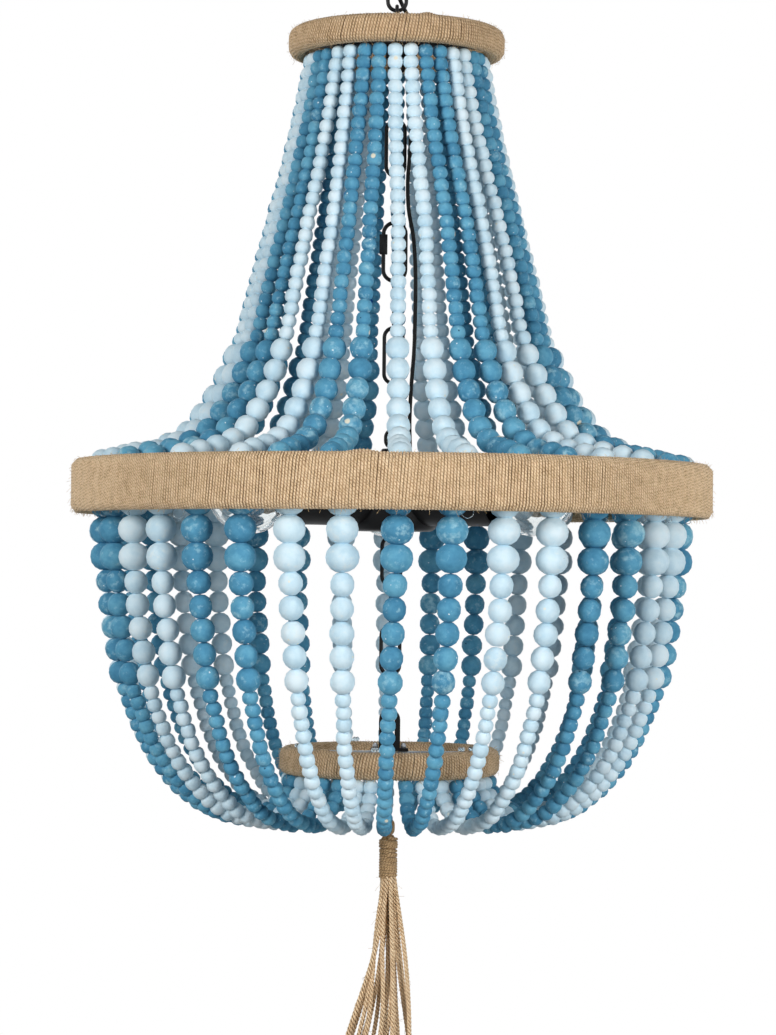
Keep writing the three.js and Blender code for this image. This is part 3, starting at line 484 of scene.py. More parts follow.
def smooth_line(points, steps):
    """A smooth line through points, with steps to each stretch: a centripetal Catmull-Rom curve."""
    points = [Vector(p) for p in points]
    points = [2 * points[0] - points[1], *points, 2 * points[-1] - points[-2]]
    line = []
    for a, b, c, d in zip(points, points[1:], points[2:], points[3:]):
        t1 = (b - a).length ** 0.5
        t2 = t1 + (c - b).length ** 0.5
        t3 = t2 + (d - c).length ** 0.5
        for i in range(steps):
            t = t1 + (t2 - t1) * i / steps
            ab = a.lerp(b, t / t1)
            bc = b.lerp(c, (t - t1) / (t2 - t1))
            cd = c.lerp(d, (t - t2) / (t3 - t2))
            abc = ab.lerp(bc, t / t2)
            bcd = bc.lerp(cd, (t - t1) / (t3 - t1))
            line.append(abc.lerp(bcd, (t - t1) / (t2 - t1)))
    line.append(points[-2].copy())
    return line


def lengths_of(line):
    """How far along the line each of its points lies."""
    along = [0.0]
    for a, b in zip(line, line[1:]):
        along.append(along[-1] + (b - a).length)
    return along


def place_at(line, along, distance):
    """The point and the direction at a distance along a line."""
    i = 0
    while i < len(along) - 2 and along[i + 1] < distance:
        i += 1
    share = (distance - along[i]) / (along[i + 1] - along[i])
    return line[i].lerp(line[i + 1], share), (line[i + 1] - line[i]).normalized()


# %% [markdown]
# ## Strands of beads
# Each tier has 36 strands, two to a thread. A strand is a line in an upright plane, turned to its place round the
# axis, and those of the upper tier stray a few degrees sideways before they settle. Beads are placed along the
# line by their real pitch. The small ones are 12 mm across and only 10 mm long, so they are barrels with soft
# corners, and the larger are balls with flattened ends. A few dozen faces do for each of the two thousand.

# %% Draw the strands' lines
seed(7)
strands, strand_turn = 36, 10
upper_shares = [
    (0, 1), (0.08, 0.787), (0.17, 0.594), (0.265, 0.4), (0.32, 0.284), (0.38, 0.206), (0.46, 0.129), (0.575, 0.052),
    (0.74, 0.01), (0.88, -0.004), (1, -0.02),
]
fall_shares = [
    (0, 0), (0.002, 0.15), (0.02, 0.295), (0.071, 0.488), (0.105, 0.586), (0.162, 0.681), (0.236, 0.777),
    (0.35, 0.873), (0.525, 0.962), (0.68, 0.993), (0.8, 1),
]
rise_shares = [(0.902, 0.76), (0.98, 0.38), (1, 0.14), (1, 0)]
# radius and height in mm where the strands start and end
top_ring_z, main_ring_z, bottom_ring_z = -153.1, -510.5, -726.5
upper_start = (68.5, top_ring_z - 11.15)
upper_end = (240.78, main_ring_z + 24)
lower_start = (229.37, main_ring_z - 4.2)
lower_end = (80.5, bottom_ring_z - 11.3)
lowest_z = lower_end[1] - 33
# how many degrees each strand of the upper tier strays, and the share of its length in which it does
drifts = [2.4, 4.2, 4.4, 4.4, 3.2, 5.5, 6.5, 6, 5, 4, 3, 2, 1, 0, -1, 0, 1, 0.5]
drifts += [-1, 0, 1, 0, -1, 0, 0.5, 0, -0.5, 0.5, 2, 3, 1, 0.7, -1.3, 2.4, 0.2, 0]
drift_share = 0.4
# the lower strands hang straighter: only some at the front stray, all the way down
lower_drifts = {0: -2.8, 1: -1.8, 2: -2, 3: -1, 34: 1.2, 35: -1}


def between(start, end, share):
    return start + share * (end - start)


def profile_line(start, end, first_z, last_z, shares):
    """Points in the XZ plane from pairs of shares, of the way out and of the way between two heights in mm."""
    return [(between(start[0], end[0], out) * mm, 0, between(first_z, last_z, up) * mm) for out, up in shares]


upper_line = smooth_line(profile_line(upper_start, upper_end, upper_end[1], upper_start[1], upper_shares), 12)
lower_line = smooth_line(
    profile_line(lower_start, lower_end, lower_start[1], lowest_z, fall_shares)
    + profile_line(lower_start, lower_end, lower_end[1], lowest_z, rise_shares),
    12,
)


def lay_strand(line, turn, drift, within):
    """A strand's line, turned that many degrees from the front, with its drift within that share of its length."""
    along = lengths_of(line)
    laid = []
    for point, distance in zip(line, along):
        share = min(distance / along[-1] / within, 1)
        angle = radians(turn + drift * share * share * (3 - 2 * share))
        laid.append(Vector((point.x * sin(angle), -point.x * cos(angle), point.z)))
    return laid


print("a strand is", [round(lengths_of(line)[-1], 3) for line in (upper_line, lower_line)], "m long")


# %% Shape the beads
small_bead, middle_bead, large_bead = 12 * mm, 18 * mm, 24 * mm


def bead_row(line, larger, small_first):
    """Places of the beads: distance, size and length. Small beads fill what the larger ones leave."""
    rest = lengths_of(line)[-1] - sum(pitch for _, pitch in larger)
    count = round(rest / (10 * mm))
    small = [(small_bead, rest / count)] * count
    row, distance = [], 0.0
    for size, pitch in small + larger if small_first else larger + small:
        row.append((distance + pitch / 2, size, pitch))
        distance += pitch
    return row


upper_row = bead_row(upper_line, [(middle_bead, 18 * mm)] * 9, True)
lower_row = bead_row(lower_line, [(large_bead, 20.6 * mm)] * 3 + [(middle_bead, 18 * mm)] * 5, False)
print(len(upper_row), "beads on an upper strand and", len(lower_row), "on a lower one")


def unit_bead(name, squareness, bands, steps):
    """A bead of radius and half length 1, turned about its hole. A ball has squareness 2, and more is boxier."""
    shape = bmesh.new()
    profile = []
    for band in range(bands + 1):
        angle = pi * (0.5 - band / bands)
        radius, height = cos(angle) ** (2 / squareness), abs(sin(angle)) ** (2 / squareness)
        profile.append((radius if 0 < band < bands else 0, copysign(height, angle)))
    turned(shape, profile, steps, unit=1)
    return mesh_of(name, shape)


unit_beads = {}
for size, kind, squarenesses, bands, steps in (
    (small_bead, "barrel", (2.15, 2.35, 2.6), 7, 10), (middle_bead, "ball", (2.0, 2.15), 7, 12),
    (large_bead, "large ball", (2.05, 2.2), 8, 14),
):
    unit_beads[size] = [unit_bead(f"{kind} bead {i}", each, bands, steps) for i, each in enumerate(squarenesses)]
print("the beads have", [len(beads[0].polygons) for beads in unit_beads.values()], "faces")


# %% String the beads
def string_beads(name, lines, row, look):
    """The beads on some strands, each with its own tone, wear and small faults of size and place."""
    shape = bmesh.new()
    tones, wears = [], []
    for line in lines:
        along = lengths_of(line)
        stretch = along[-1] / (row[-1][0] + row[-1][2] / 2)
        for distance, size, pitch in row:
            point, direction = place_at(line, along, distance * stretch)
            # it tips by up to 6 degrees, is a few percent off its size and strays by up to 0.35 mm
            tip = Matrix.Rotation(radians(uniform(-6, 6)), 4, "X")
            spin = Matrix.Rotation(uniform(0, tau), 4, "Z")
            radius = size / 2 * uniform(0.975, 1.045)
            half = max(pitch / 2 * 1.03, size * 0.46) * uniform(0.98, 1.02)
            stray = Vector([uniform(-0.35, 0.35) * mm for _ in range(3)])
            bead = choice(unit_beads[size]).copy()
            bead.transform(
                Matrix.Translation(point + stray)
                @ direction.to_track_quat("Z", "Y").to_matrix().to_4x4()
                @ tip
                @ spin
                @ Matrix.Diagonal((radius, radius, half, 1))
            )
            shape.from_mesh(bead)
            tones += [random()] * len(bead.vertices)
            wears += [random() ** 3 * (0.4 if size == small_bead else 1)] * len(bead.vertices)
            bpy.data.meshes.remove(bead)
    piece = finish_piece(name, shape, look, smooth=180)
    mark_points(piece, "bead_tone", tones)
    mark_points(piece, "bead_wear", wears)


pale, blue = (pale_paint, "pale_beads"), (blue_paint, "blue_beads")
for pair in range(strands // 2):
    above, below = (pale, blue) if pair % 2 == 0 else (blue, pale)
    both = (2 * pair, 2 * pair + 1)
    upper_pair = [lay_strand(upper_line, i * strand_turn - 1, drifts[i], drift_share) for i in both]
    lower_pair = [lay_strand(lower_line, i * strand_turn + 1, lower_drifts.get(i, 0), 1) for i in both]
    string_beads(f"upper_strands_{pair + 1:02d}", upper_pair, upper_row, above)
    string_beads(f"lower_strands_{pair + 1:02d}", lower_pair, lower_row, below)
print(strands * (len(upper_row) + len(lower_row)), "beads in all")

# %% [markdown]
# ## Jute bindings
# Each ring is wound with one yarn, like a spring bent into a ring: the line goes round the ring's section while
# it creeps along the ring. A winder's hand isn't even, so the turns lean, bulge and stand apart at a seam here
# and there, and a knot lifts a few of them. Seeded draws and slow waves do this. Loose hairs stand off the jute.


# %% Wind the rings
def section_line(outer, width, height, rounding, steps):
    """Points round a ring's section, as radius and height from the ring's middle, evenly spaced."""
    outward, inward, up = outer - rounding, outer - width + rounding, height / 2 - rounding
    corners = []
    for radius, z, start in ((outward, up, 0), (inward, up, 90), (inward, -up, 180), (outward, -up, 270)):
        corners += arc(radius, z, rounding, start, start + 90, 5)
    line = [Vector((r, 0, z)) for r, z in [*corners, corners[0]]]
    along = lengths_of(line)
    places = [place_at(line, along, along[-1] * i / steps)[0] for i in range(steps)]
    return [(p.x, p.z) for p in places], along[-1]


def wind_ring(name, size, tints, yarn, steps, slant, seams, knots):
    """One yarn wound round a ring whose outer faces are its solid's.

    The turns lean by up to slant turns at the left. Seams are degrees from the front where two turns stand apart,
    and knots are degrees, half widths in degrees and heights of what lifts the turns on the upper edge.
    """
    outer, width, height, rounding, middle, yarn = (length * mm for length in (*size, yarn))
    path, round_length = section_line(outer - yarn / 2, width - yarn, height - yarn, rounding - yarn / 2, steps)
    turns = round(tau * outer / (yarn * 1.01))
    gaps = [uniform(0.95, 1.05) for _ in range(turns)]
    for seam in seams:
        gaps[round(seam / 360 * turns) % turns] += 0.15
    starts = [0.0]
    for gap in gaps:
        starts.append(starts[-1] + tau * gap / sum(gaps))
    bulges = [uniform(0, 0.25) * mm for _ in range(turns + 1)]
    line = []
    for i in range(turns * steps + 1):
        turn, step = divmod(i, steps)
        radius, z = path[step]
        angle = starts[turn] if turn == turns else between(starts[turn], starts[turn + 1], step / steps)
        lean = 0.35 * sin(turn * 0.21) + 0.25 * sin(turn * 0.057 + 2)
        lean += slant * (0.5 - 0.5 * sin(angle)) ** 2
        angle += tau / turns * lean * z / height
        side = 1 if radius > outer - width / 2 else -1
        radius -= side * bulges[turn]
        for knot, half_width, rise in knots:
            off = (degrees(angle) - knot + 180) % 360 - 180
            lift = rise * mm * exp(-((off / half_width) ** 2)) * max(0, 2 * z / height) ** 2
            z += lift
            radius += side * lift / 2
        line.append((radius * sin(angle), -radius * cos(angle), middle + z))
    # a ridge of the plies passes every 2.4 mm
    ridges = round(turns * round_length / (2.4 * mm))
    jute = jute_yarn(f"jute yarn, {name}", ridges, 2, tints, 0.5 * mm, "painted_crest_shade")
    piece = tube(name, [line], yarn / 2, jute, 1)
    # painted shade: the yarn is darkened where it turns in to its neighbours, where the turns shade each other
    painted_shade_values = []
    for vertex in piece.data.vertices:
        round_ring = Vector((-vertex.co.y, vertex.co.x, 0)).normalized()
        painted_shade_values.append(sqrt(max(0, 1 - vertex.normal.dot(round_ring) ** 2)))
    mark_points(piece, "painted_crest_shade", painted_shade_values)
    place_piece(piece, "chandelier", [name])
    print(name, "has", turns, "turns and", len(piece.data.polygons), "faces")


def shed_fibres(name, body, spots, longest, radius=0.1 * mm):
    """Loose fibres that stand off the yarn. A spot is a point and the way out from it."""
    hairs = []
    for point, out in spots:
        length = longest * uniform(0.3, 1)
        side = Vector([uniform(-1, 1) for _ in range(3)])
        droop = Vector((0, 0, -0.3 * length))
        hair = []
        for share in (0, 0.3, 0.65, 1):
            hair.append(point + (out * 0.7 * share + side * 0.8 * share * share) * length + droop * share**3)
        hairs.append(hair)
    fibre_jute = jute_yarn(f"jute fibre, {name}", 1, 1, [(0.3, "#b8935f"), (0.9, "#ecd2a6")], 0)
    place_piece(tube(name, hairs, radius, fibre_jute, 0), body)


# each ring's outer radius, width, height, rounding and the height of its middle, in mm
top_ring = (86.7, 15, 22.3, 6.5, top_ring_z)
main_ring = (255.5, 13.5, 42.5, 5, main_ring_z)
bottom_ring = (88, 15, 22, 6.5, bottom_ring_z)
# painted light and shade: the same jute gets darker tints on the small rings than on the main ring, for the less light
# that reaches them
shaded_small_ring_tints = [(0.1, "#83643f"), (0.52, "#cfb08a"), (0.9, "#ecd2ae")]
lit_main_ring_tints = [(0.1, "#8f6e47"), (0.52, "#e0c29b"), (0.9, "#fce5c3")]
windings = [
    ("top_ring", top_ring, shaded_small_ring_tints, 2.5, 16, 4, [-30, 4], [(17, 3.5, 1.8)]),
    ("main_ring", main_ring, lit_main_ring_tints, 2.4, 18, 2, [-17, -2.6, 21], [(-5, 2, 2)]),
    ("bottom_ring", bottom_ring, shaded_small_ring_tints, 2.5, 16, 2, [12, 150], [(-40, 4, 1.5)]),
]
fibres_to_metre = 11000
for ring, size, *winding in windings:
    wind_ring(f"{ring}_binding", size, *winding)
    outer, width, height, rounding, middle = (length * mm for length in size)
    section, _ = section_line(outer, width, height, rounding, 40)
    spots = []
    for _ in range(round(outer * fibres_to_metre)):
        radius, z = choice(section)
        turn = Matrix.Rotation(uniform(0, tau), 4, "Z")
        out = Vector((radius - outer + width / 2, 0, z)).normalized()
        spots.append((turn @ Vector((radius, 0, middle + z)), turn @ out))
    shed_fibres(f"{ring}_fibres", "chandelier", spots, 2.8 * mm)

# %% [markdown]
# ## Threads
# The beads are strung on clear nylon, 0.6 mm thick, knotted on top of the bottom ring. A few ends stand out
# where the lower strands leave the main ring. The rest of it is hidden in the beads, so only the knots, which are
# small turned balls in pairs, and the ends, which are thin tubes, are made.

# %% Tie the threads
knots = bmesh.new()
tilt = Matrix.Rotation(radians(70), 4, "Y")
for turn, away in ((-8, 2), (45, 1), (52, -1), (110, 2), (200, 0), (290, 3)):
    spot = Matrix.Translation((0, (away - 80.5) * mm, (bottom_ring_z + 12.6) * mm))
    for side in (-1.3 * mm, 1.3 * mm):
        matrix = Matrix.Rotation(radians(turn), 4, "Z") @ spot @ Matrix.Translation((side, 0, 0)) @ tilt
        turned(knots, arc(0, 0, 1.9, 90, -90, 6), 10, matrix)
finish_piece("thread_knots", knots, (nylon, "clear_glass"), stands=False)

ends = []
for strand in range(strands):
    if random() < 0.4:
        angle = radians(strand * strand_turn + 1 + uniform(-2, 2))
        out = Vector((sin(angle), -cos(angle), 0))
        across = Vector((cos(angle), sin(angle), 0)) * choice((-1, 1))
        start = out * 236 * mm + Vector((0, 0, (main_ring_z - 20.5) * mm))
        reach, drop = uniform(6, 11) * mm, uniform(3, 8) * mm
        bends = ((0, 0, 0), (0.6, 0, -1), (1, 3, -0.7), (1.1, 2, -0.1))
        points = [start + across * reach * a + out * b * mm + Vector((0, 0, drop * c)) for a, b, c in bends]
        ends.append(smooth_line(points, 4))
place_piece(tube("thread_ends", ends, 0.3 * mm, nylon, 1), "chandelier")
print(len(ends), "ends of thread")

# %% [markdown]
# ## Chain
# The links are 3.2 mm wire bent to a long loop and welded. A curve could make them too, but a circle that is
# pulled straight, spun half round, pulled back and spun again keeps its bends true. Above the bell the links
# swing, and inside they are pulled taut.

# %% Make the chain
black = (black_coat, "black_metal")
wire, link_width = 3.2, 18
along_x, along_y = (1, 0, 0), (0, 1, 0)

for body, across, top_bar in (("link_1", along_y, -43.6), ("link_2", along_x, -82.9)):
    link = bmesh.new()
    wire_loop(link, 46, link_width, wire, across, top_bar)
    finish_piece("chain_" + body, link, black, body)


def taut_chain(name, top_bar, bottom_bar, links, first_across):
    """Links that share a span evenly, each just touching the next."""
    shape = bmesh.new()
    length = (top_bar - bottom_bar + (links - 1) * wire) / links + wire
    for i in range(links):
        across = along_x if (first_across == along_x) == (i % 2 == 0) else along_y
        wire_loop(shape, length, link_width, wire, across, top_bar - i * (length - 2 * wire))
    finish_piece(name, shape, black)


taut_chain("inner_chain_upper", -172.9, -299.65, 3, along_y)
taut_chain("inner_chain_lower", -339.45, -466.2, 3, along_y)
taut_chain("basket_chain", -548, -693.7, 4, along_x)

quick = bmesh.new()
wire_loop(quick, 50, 21, wire, along_x, -296.15, 14, 12)
finish_piece("quick_link", quick, black)
sleeve = bmesh.new()
rod(sleeve, 3.7, -321.65, -305.65, -8.9, 6, 0.5)
finish_piece("quick_link_sleeve", sleeve, black, "sleeve")
print("chain made")

# %% [markdown]
# ## Ceiling fitting
# The canopy is a pressed steel cup with a rounded rim, as a press tool leaves it. Its profile follows both faces
# of the sheet and is turned about the axis, which gives it a real wall. The loop hangs from a collar on the
# nipple.

# %% Make the ceiling fitting
canopy = bmesh.new()
outside = [(5.6, -25), *arc(45, -8, 17, -90, 0, 12), (62, -0.4), (61.6, 0)]
inside = [(60.8, 0), (60.4, -0.4), *arc(45, -8, 15.4, 0, -90, 12), (5.6, -23.4), (5.6, -25)]
turned(canopy, outside + inside, 64)
finish_piece("ceiling_canopy", canopy, black, "ceiling_fitting")

loop = bmesh.new()
rod(loop, 5, -25.9, -1.8)
rod(loop, 11, -29.3, -25.3, 0, 32, 0.8)
wire_loop(loop, 20, 20, wire, along_x, -30.3, 14, 12)
finish_piece("canopy_loop", loop, black, "ceiling_fitting")
print("canopy and loop made")

# %% [markdown]
# ## Frames of the small rings
# Inside each binding is a flat steel hoop. A strap with the eyes for the chain and the tassel crosses it. Hoops
# are turned, and straps, pins and nuts are blocks and rods whose edges are bevelled to catch the light.


# %% Make the frames
def hoop(shape, outer, width, height, _, middle):
    """The flat steel hoop in a ring of that size, 3.8 mm inside its binding."""
    cover = 3.8
    inside, outside = outer - width + cover, outer - cover
    low, high = middle - height / 2 + cover, middle + height / 2 - cover
    turned(shape, [(inside, low), (outside, low), (outside, high), (inside, high), (inside, low)])


top_frame = bmesh.new()
hoop(top_frame, *top_ring)
block(top_frame, (151, 20, 3), (0, 0, top_ring_z))
rod(top_frame, 3, top_ring_z - 1, top_ring_z + 15)
wire_loop(top_frame, 18, 14, wire, along_y, -122.2)
rod(top_frame, 9, top_ring_z - 11.5, top_ring_z - 1, 0, 32, 0.8)
wire_loop(top_frame, 14, 14, wire, along_x, -165.6)
gland_place = Matrix.Translation((14.5 * mm, 0, top_ring_z * mm))
turned(top_frame, [(2, -6), (5, -6), (5, 4.5), (3.6, 6), (2, 6), (2, -6)], 24, gland_place)
finish_piece("top_ring_frame", top_frame, black)

bottom_frame = bmesh.new()
hoop(bottom_frame, *bottom_ring)
block(bottom_frame, (153, 20, 3), (0, 0, bottom_ring_z + 5.7))
wire_loop(bottom_frame, 12, 14, 2.6, along_x, bottom_ring_z + 3.5)
for x in (-11.2, 11.2):
    rod(bottom_frame, 1.5, bottom_ring_z + 4.5, bottom_ring_z + 13.9, x, 16, 0.2)
    rod(bottom_frame, 2.6, bottom_ring_z + 10.1, bottom_ring_z + 12.7, x, 6, 0.2)
finish_piece("bottom_ring_frame", bottom_frame, (zinc, "galvanised"))
print("frames made")

# %% [markdown]
# ## Lamps
# Three level cups stand round a turned body under the main ring. Each holds a socket and a clear globe bulb
# with a brass cap, a glass stem and a coiled filament. All but the filament are round, so each is a profile that
# is turned about Z and then laid level. The globe has a thin wall, because a solid ball would act as a lens.

# %% Make the lamps
lamp_z = -514.5
lamp_turns = (60, 180, 300)


def level(turn):
    """Lays what was turned about Z level, away from the axis, at that many degrees from the front."""
    return (
        Matrix.Translation((0, 0, lamp_z * mm))
        @ Matrix.Rotation(radians(turn), 4, "Z")
        @ Matrix.Rotation(pi / 2, 4, "X")
    )


cluster = bmesh.new()
body = [(0, -29), *arc(30, -23, 6, -90, 0, 6), *arc(30, 21, 6, 0, 90, 6)]
body += [(10, 27), (9, 28), (9, 36), (8, 37), (0, 37)]
turned(cluster, body, 64, Matrix.Translation((0, 0, lamp_z * mm)))
cup = [(0, 20), (23.5, 20), (25, 36), (25, 94), (24, 95), (23, 94), (23, 62)]
socket = [(16, 62), (16, 84), (15, 85), (14, 84), (14, 62), (0, 62)]
for turn in lamp_turns:
    turned(cluster, cup + socket, 48, level(turn))
wire_loop(cluster, 17, 14, wire, along_x, -462.7)
wire_loop(cluster, 19.2, 14, wire, along_y, lamp_z - 21)
finish_piece("lamp_cluster", cluster, black)


def bulb(name, turn):
    """A bulb in three pieces: the glass, the cap and the stem with its filament."""
    matrix = level(turn)
    globe = bmesh.new()
    outside = [(12, 86), (12.2, 92), *arc(0, 128, 33, -68, 90, 26)]
    inside = [*arc(0, 128, 31.9, 90, -68, 26), (11, 92), (10.8, 86), (12, 86)]
    turned(globe, outside + inside, 48, matrix)
    finish_piece(name, globe, (glass, "clear_glass"), name)
    cap = bmesh.new()
    threads = []
    for i in range(6):
        start = 68 + 3.2 * i
        threads += [(12.3, start), (13, start + 1.1), (12.3, start + 2.2)]
    contact = [(0, 62.4), (4.6, 62.4), (5, 63.4), (9, 65.5), (12, 67)]
    turned(cap, [*contact, *threads, (12.6, 88.6), (12.2, 89), (0, 89)], 48, matrix)
    finish_piece(name + "_cap", cap, (brass, "clear_glass"), name, False)
    stem = bmesh.new()
    turned(stem, [(0, 88), (6, 88), (3, 98), (2, 112), (3, 118), (0, 120)], 20, matrix)
    finish_piece(name + "_stem", stem, (glass, "clear_glass"), name, False)
    wires = []
    for side in (-1, 1):
        support = ((side, 0, 115), (5 * side, 0, 124), (14 * side, 0, 134))
        wires.append([matrix @ (Vector(p) * mm) for p in support])
    coil = []
    for i in range(121):
        angle = tau * i / 6
        x = between(-14, 14, i / 120) * mm
        sag = 2 * mm * cos(pi * i / 120 - pi / 2)
        coil.append(matrix @ Vector((x, 0.5 * mm * cos(angle), 134 * mm + sag + 0.5 * mm * sin(angle))))
    wires.append(coil)
    place_piece(tube(name + "_filament", wires, 0.22 * mm, zinc, 0), name)


for number, turn in enumerate(lamp_turns, 1):
    bulb(f"bulb_{number}", turn)
print("lamps made")

# %% [markdown]
# ## Lamp cord
# The cord leaves the canopy, is woven through the chain, and goes through the gland in the top ring's strap
# and down beside the chain to the lamps. It bends where the links swing; it is made in three pieces, cut at given
# heights.

# %% Lay the cord
cord_route = [
    (15, 0, -14), (15, 0, -24), (15, -1, -36), (12, -5, -52), (8, -8, -68), (5, -9, -80), (2, -6, -92),
    (0.5, 0, -103), (1, 5, -112), (5, 8, -121), (10, 6, -131), (14.3, 0.6, -141), (14.5, 0, -148), (14.5, 0, -162),
    (14.3, -1.5, -171), (13.5, -4, -188), (12.5, -5, -212), (11.5, -5, -240), (10, -4, -264), (11, -3, -286),
    (15, -2, -308), (17, -1, -338), (17, 0, -372), (16.5, 0, -398), (14.5, -1, -428), (13.5, -1, -456),
    (14, 0, -477), (14, 0, -492),
]
cord_line = smooth_line([Vector(p) * mm for p in cord_route], 8)
print("the cord is", round(lengths_of(cord_line)[-1], 3), "m long")
cord_parts = [
    ("cord_at_canopy", -1, -68, "ceiling_fitting", "link_1", -40, -58),
    ("cord_at_links", -68, -103, "link_1", "link_2", -80, -94),
    ("cord_inside", -103, -600, "link_2", "chandelier", -116, -138),
]
near = 0.001 * mm
for name, top, bottom, above, below, start, end in cord_parts:
    stretch = [p for p in cord_line if bottom * mm - near <= p.z <= top * mm + near]
    part = tube(name, [stretch], 1.65 * mm, black_sheath, 2)
    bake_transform(part)
    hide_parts("lamp_cord")

# %% [markdown]
# ## Tassel
# The tassel is a bundle of jute cords, folded over a loop and whipped with yarn to make a neck. The turns of the
# whipping ride on each other at the top and lie neat below. Each cord of the skirt is three tubes that wind
# round each other. The cords part and sway on the way down, and their cut ends fray.

# %% Hang the tassel
neck_top, neck_bottom = -786.1 * mm, -820.7 * mm
loop_thickness = 2.6 * mm


def cord_loop(length, width, across, top_bar, count=72):
    """Even points along the middle of an upright loop of cord."""
    across = Vector(across)
    bend = (width - loop_thickness) / 2
    low = top_bar - (length - loop_thickness) + bend
    line = []
    for centre, start in ((top_bar - bend, 0), (low, pi)):
        for i in range(13):
            angle = start + pi * i / 12
            line.append(across * bend * cos(angle) + Vector((0, 0, centre + bend * sin(angle))))
    line.append(line[0])
    along = lengths_of(line)
    return [place_at(line, along, along[-1] * i / count)[0] for i in range(count)]


loop_jute = jute_yarn("jute cord, loops", 44, 3, [(0.1, "#755837"), (0.52, "#bd9c72"), (0.9, "#dcc097")], 0.4 * mm)
hanger_line = cord_loop(50 * mm, 9 * mm, along_y, -729.5 * mm)
eye_line = cord_loop(14 * mm, 10 * mm, along_x, -774 * mm)
hanger = tube("tassel_hanger", [hanger_line], loop_thickness / 2, loop_jute, 2, True)
place_piece(hanger, "hanger", ["tassel_hanger"])
eye = tube("tassel_loop", [eye_line], loop_thickness / 2, loop_jute, 2, True)
place_piece(eye, "tassel")

# %% Whip the neck
neck = bmesh.new()
low, high = neck_bottom / mm, neck_top / mm
turned(neck, [(0, low), (5.3, low), (5.8, low + 2), (5.8, high - 3), (4, high), (0, high)], 32)
core_jute = jute_yarn("jute core", 1, 1, [(0.3, "#7a5e3c"), (0.9, "#b8966a")], 0)
finish_piece("tassel", neck, (core_jute, "jute"), "tassel")

steps_to_turn, messy_turns, neat_turns = 24, 8, 6
whipping_turns = messy_turns + neat_turns
tilts = [
    (uniform(0.3, 1.5) * mm if turn < messy_turns else 0.2 * mm, uniform(0, tau))
    for turn in range(whipping_turns + 1)
]
swells = [uniform(0, 0.8) * mm if turn < messy_turns else 0.2 * mm for turn in range(whipping_turns + 1)]
whipping_line = []
for i in range(steps_to_turn * whipping_turns):
    turn, step = divmod(i, steps_to_turn)
    share = step / steps_to_turn
    angle = tau * share
    tilt = between(tilts[turn][0], tilts[turn + 1][0], share) * sin(angle + tilts[turn][1] * (1 - share))
    radius = 6.1 * mm + between(swells[turn], swells[turn + 1], share)
    z = neck_top - 2.5 * mm - 2.2 * mm * (turn + share) + tilt
    whipping_line.append((radius * sin(angle), -radius * cos(angle), z))
# painted shade: the whipping's jute gets darker tints than the skirt's, to stand for the shade that falls on the neck
shaded_whipping_tints = [(0.1, "#67502f"), (0.52, "#b8966c"), (0.9, "#d6b78d")]
whipping_jute = jute_yarn("jute whipping", 270, 2, shaded_whipping_tints, 0.4 * mm)
place_piece(tube("tassel_whipping", [whipping_line], 1.25 * mm, whipping_jute, 1), "tassel")
print("the neck has", whipping_turns, "turns of whipping")

# %% Lay the skirt
ply_radius, ply_offset, lay = 0.9 * mm, 1.05 * mm, 9.6 * mm
plies, middles, cut_ends, shed = [], [], [], []
for count, gather, spread, offset in ((13, 5 * mm, 31 * mm, 4), (5, 1.6 * mm, 16 * mm, 20)):
    for i in range(count):
        turn = radians(360 * i / count + offset + uniform(-12, 12))
        reach = spread * uniform(0.88, 1.06)
        length = 154.4 * mm - uniform(0, 9) * mm
        sway, swing = uniform(-3.2, 3.2) * mm, uniform(3, 6)
        twist_start = uniform(0, tau)
        middle_line = []
        for step in range(121):
            share = step / 120
            radius = between(gather, reach, share**1.4)
            drop = share * length
            x = radius * sin(turn) - 9 * mm * share**3 + sway * sin(swing * share)
            y = -radius * cos(turn) + sway * sin(swing * share + 2) - sway * sin(2)
            middle_line.append(Vector((x, y, neck_bottom + 2 * mm - drop)))
        for ply in range(3):
            line = []
            for step, point in enumerate(middle_line):
                twist = tau * (step / 120 * length / lay + ply / 3) + twist_start
                line.append(point + ply_offset * Vector((cos(twist), sin(twist), 0)))
            plies.append(line)
        middles += middle_line
        cut_ends += [(middle_line[-1], Vector((uniform(-0.3, 0.3), uniform(-0.3, 0.3), -1)))] * 14
        for _ in range(22):
            out = Vector((uniform(-1, 1), uniform(-1, 1), -0.4)).normalized()
            shed.append((choice(middle_line) + out * 1.7 * mm, out))
skirt_tints = [(0.1, "#6f5230"), (0.5, "#d3b28a"), (0.9, "#f7dfba")]
skirt_jute = jute_yarn("jute skirt", 0, 0, skirt_tints, 0.5 * mm, "painted_crest_shade")
skirt = tube("tassel_skirt", plies, ply_radius, skirt_jute, 1)
# painted shade: a ply is darkened where it meets the other plies of its cord and left pale on the outside
nearest = KDTree(len(middles))
for number, point in enumerate(middles):
    nearest.insert(point, number)
nearest.balance()
outward = [(nearest.find(vertex.co)[2] - ply_offset) / ply_radius * 1.1 for vertex in skirt.data.vertices]
mark_points(skirt, "painted_crest_shade", [max(0, min(1, value)) for value in outward])
place_piece(skirt, "tassel")
shed_fibres("tassel_frayed_ends", "tassel", cut_ends, 8 * mm, 0.16 * mm)
shed_fibres("tassel_fibres", "tassel", shed, 6 * mm)
print("the skirt has", len(plies) // 3, "cords")

# %% [markdown]
# ## Stage and light
# The photograph has a white ground. A pale floor far below keeps a soft shadow, and it and the world look white
# to the camera, to gloss and through glass, while the light on the chandelier stays plain. Most light comes from
# the front, so the strands at the back are darker, and two lamps behind light them for other views.


# %% Set the stage
def seen_rays(tree):
    """1 for rays from the camera, from gloss and through glass, and 0 for rays that bring light to the object."""
    rays = add_node(tree, "LightPath").outputs
    either = add_node(tree, "Math", "MAXIMUM", rays["Is Camera Ray"], rays["Is Glossy Ray"])
    return add_node(tree, "Math", "MAXIMUM", either, rays["Is Transmission Ray"])


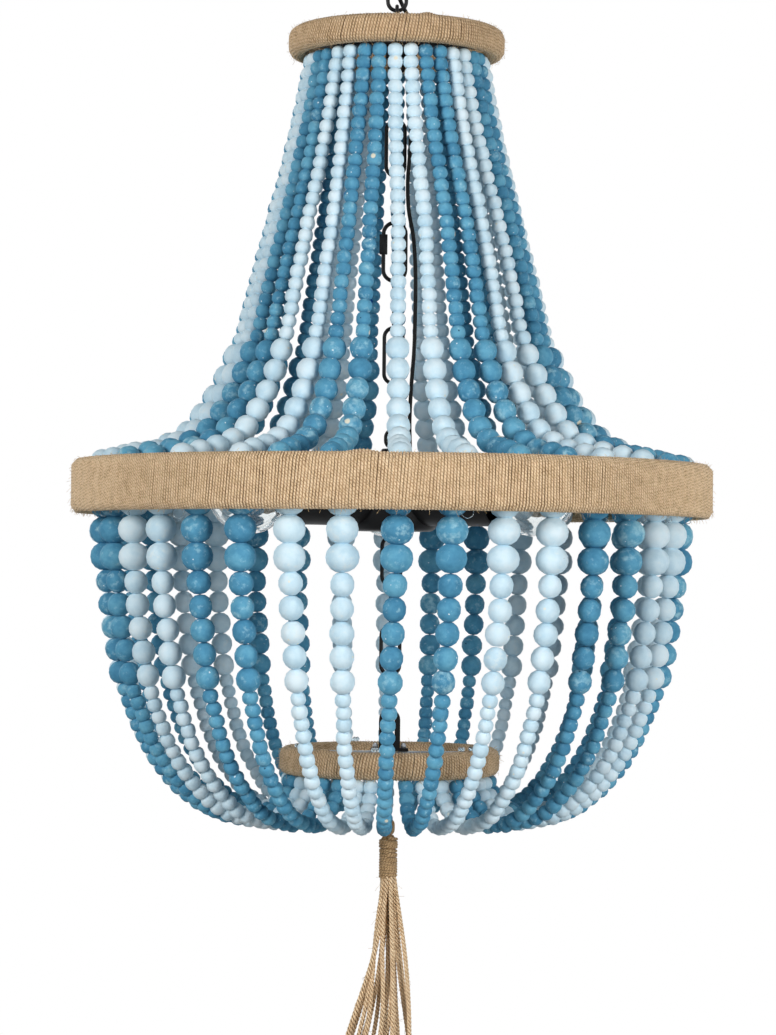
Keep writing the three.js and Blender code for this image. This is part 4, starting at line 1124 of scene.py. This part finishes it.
floor_shape = bmesh.new()
bmesh.ops.create_circle(floor_shape, cap_ends=True, segments=64, radius=9, matrix=Matrix.Translation((0, 0, -1.6)))
floor_mesh = mesh_of("floor", floor_shape)
floor_material, floor_tree, floor_shader, floor_place = start_material("pale matt floor")
set_inputs(floor_shader, Base_Color=linear("#a0a0a0"), Roughness=0.9)
# close under the chandelier a part of the floor's own look shows, and with it the shadow
distance = add_node(floor_tree, "VectorMath", "LENGTH", floor_place).outputs["Value"]
whiteness = add_node(floor_tree, "MapRange", Value=distance, From_Min=1.8, From_Max=3.4, To_Min=0.8, To_Max=1.0)
share_of_white = add_node(floor_tree, "Math", "MULTIPLY", whiteness, seen_rays(floor_tree))
white = add_node(floor_tree, "Emission", Color=(1, 1, 1, 1), Strength=1.0)
floor_look = add_node(floor_tree, "MixShader", _0=share_of_white, _1=floor_shader, _2=white)
set_inputs(floor_tree.nodes["Material Output"], Surface=floor_look)
floor_mesh.materials.append(floor_material)
floor = add_object("floor", floor_mesh)
floor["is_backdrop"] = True

world = bpy.data.worlds.new("world")
scene.world = world
world.use_nodes = True
sky = world.node_tree
brightness = add_node(sky, "MapRange", Value=seen_rays(sky), To_Min=0.03, To_Max=1.0)
set_inputs(sky.nodes["Background"], Color=(1, 1, 1, 1), Strength=brightness)


def lamp(name, place, size, power):
    """A soft square light that looks at the middle of the chandelier."""
    data = bpy.data.lights.new(name, "AREA")
    data.shape = "SQUARE"
    data.size = size
    data.energy = power
    light = add_object(name, data)
    light.location = place
    light.rotation_euler = (Vector((0, 0, -0.5)) - Vector(place)).to_track_quat("-Z", "Y").to_euler()


lamp("key light", (-1.6, -1.9, 0.1), 1.1, 43)
lamp("fill light", (1.6, -1.9, -0.4), 1.2, 41)
lamp("left light behind", (-1.7, 2.3, 0.5), 1.6, 22)
lamp("right light behind", (1.9, 2.2, 0.0), 1.6, 18)
scene.view_settings.view_transform = "Standard"

# %% [markdown]
# ## Finish
# The last cell finds the bounds of the dressed model.

# %% Finish the scene
low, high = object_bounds()
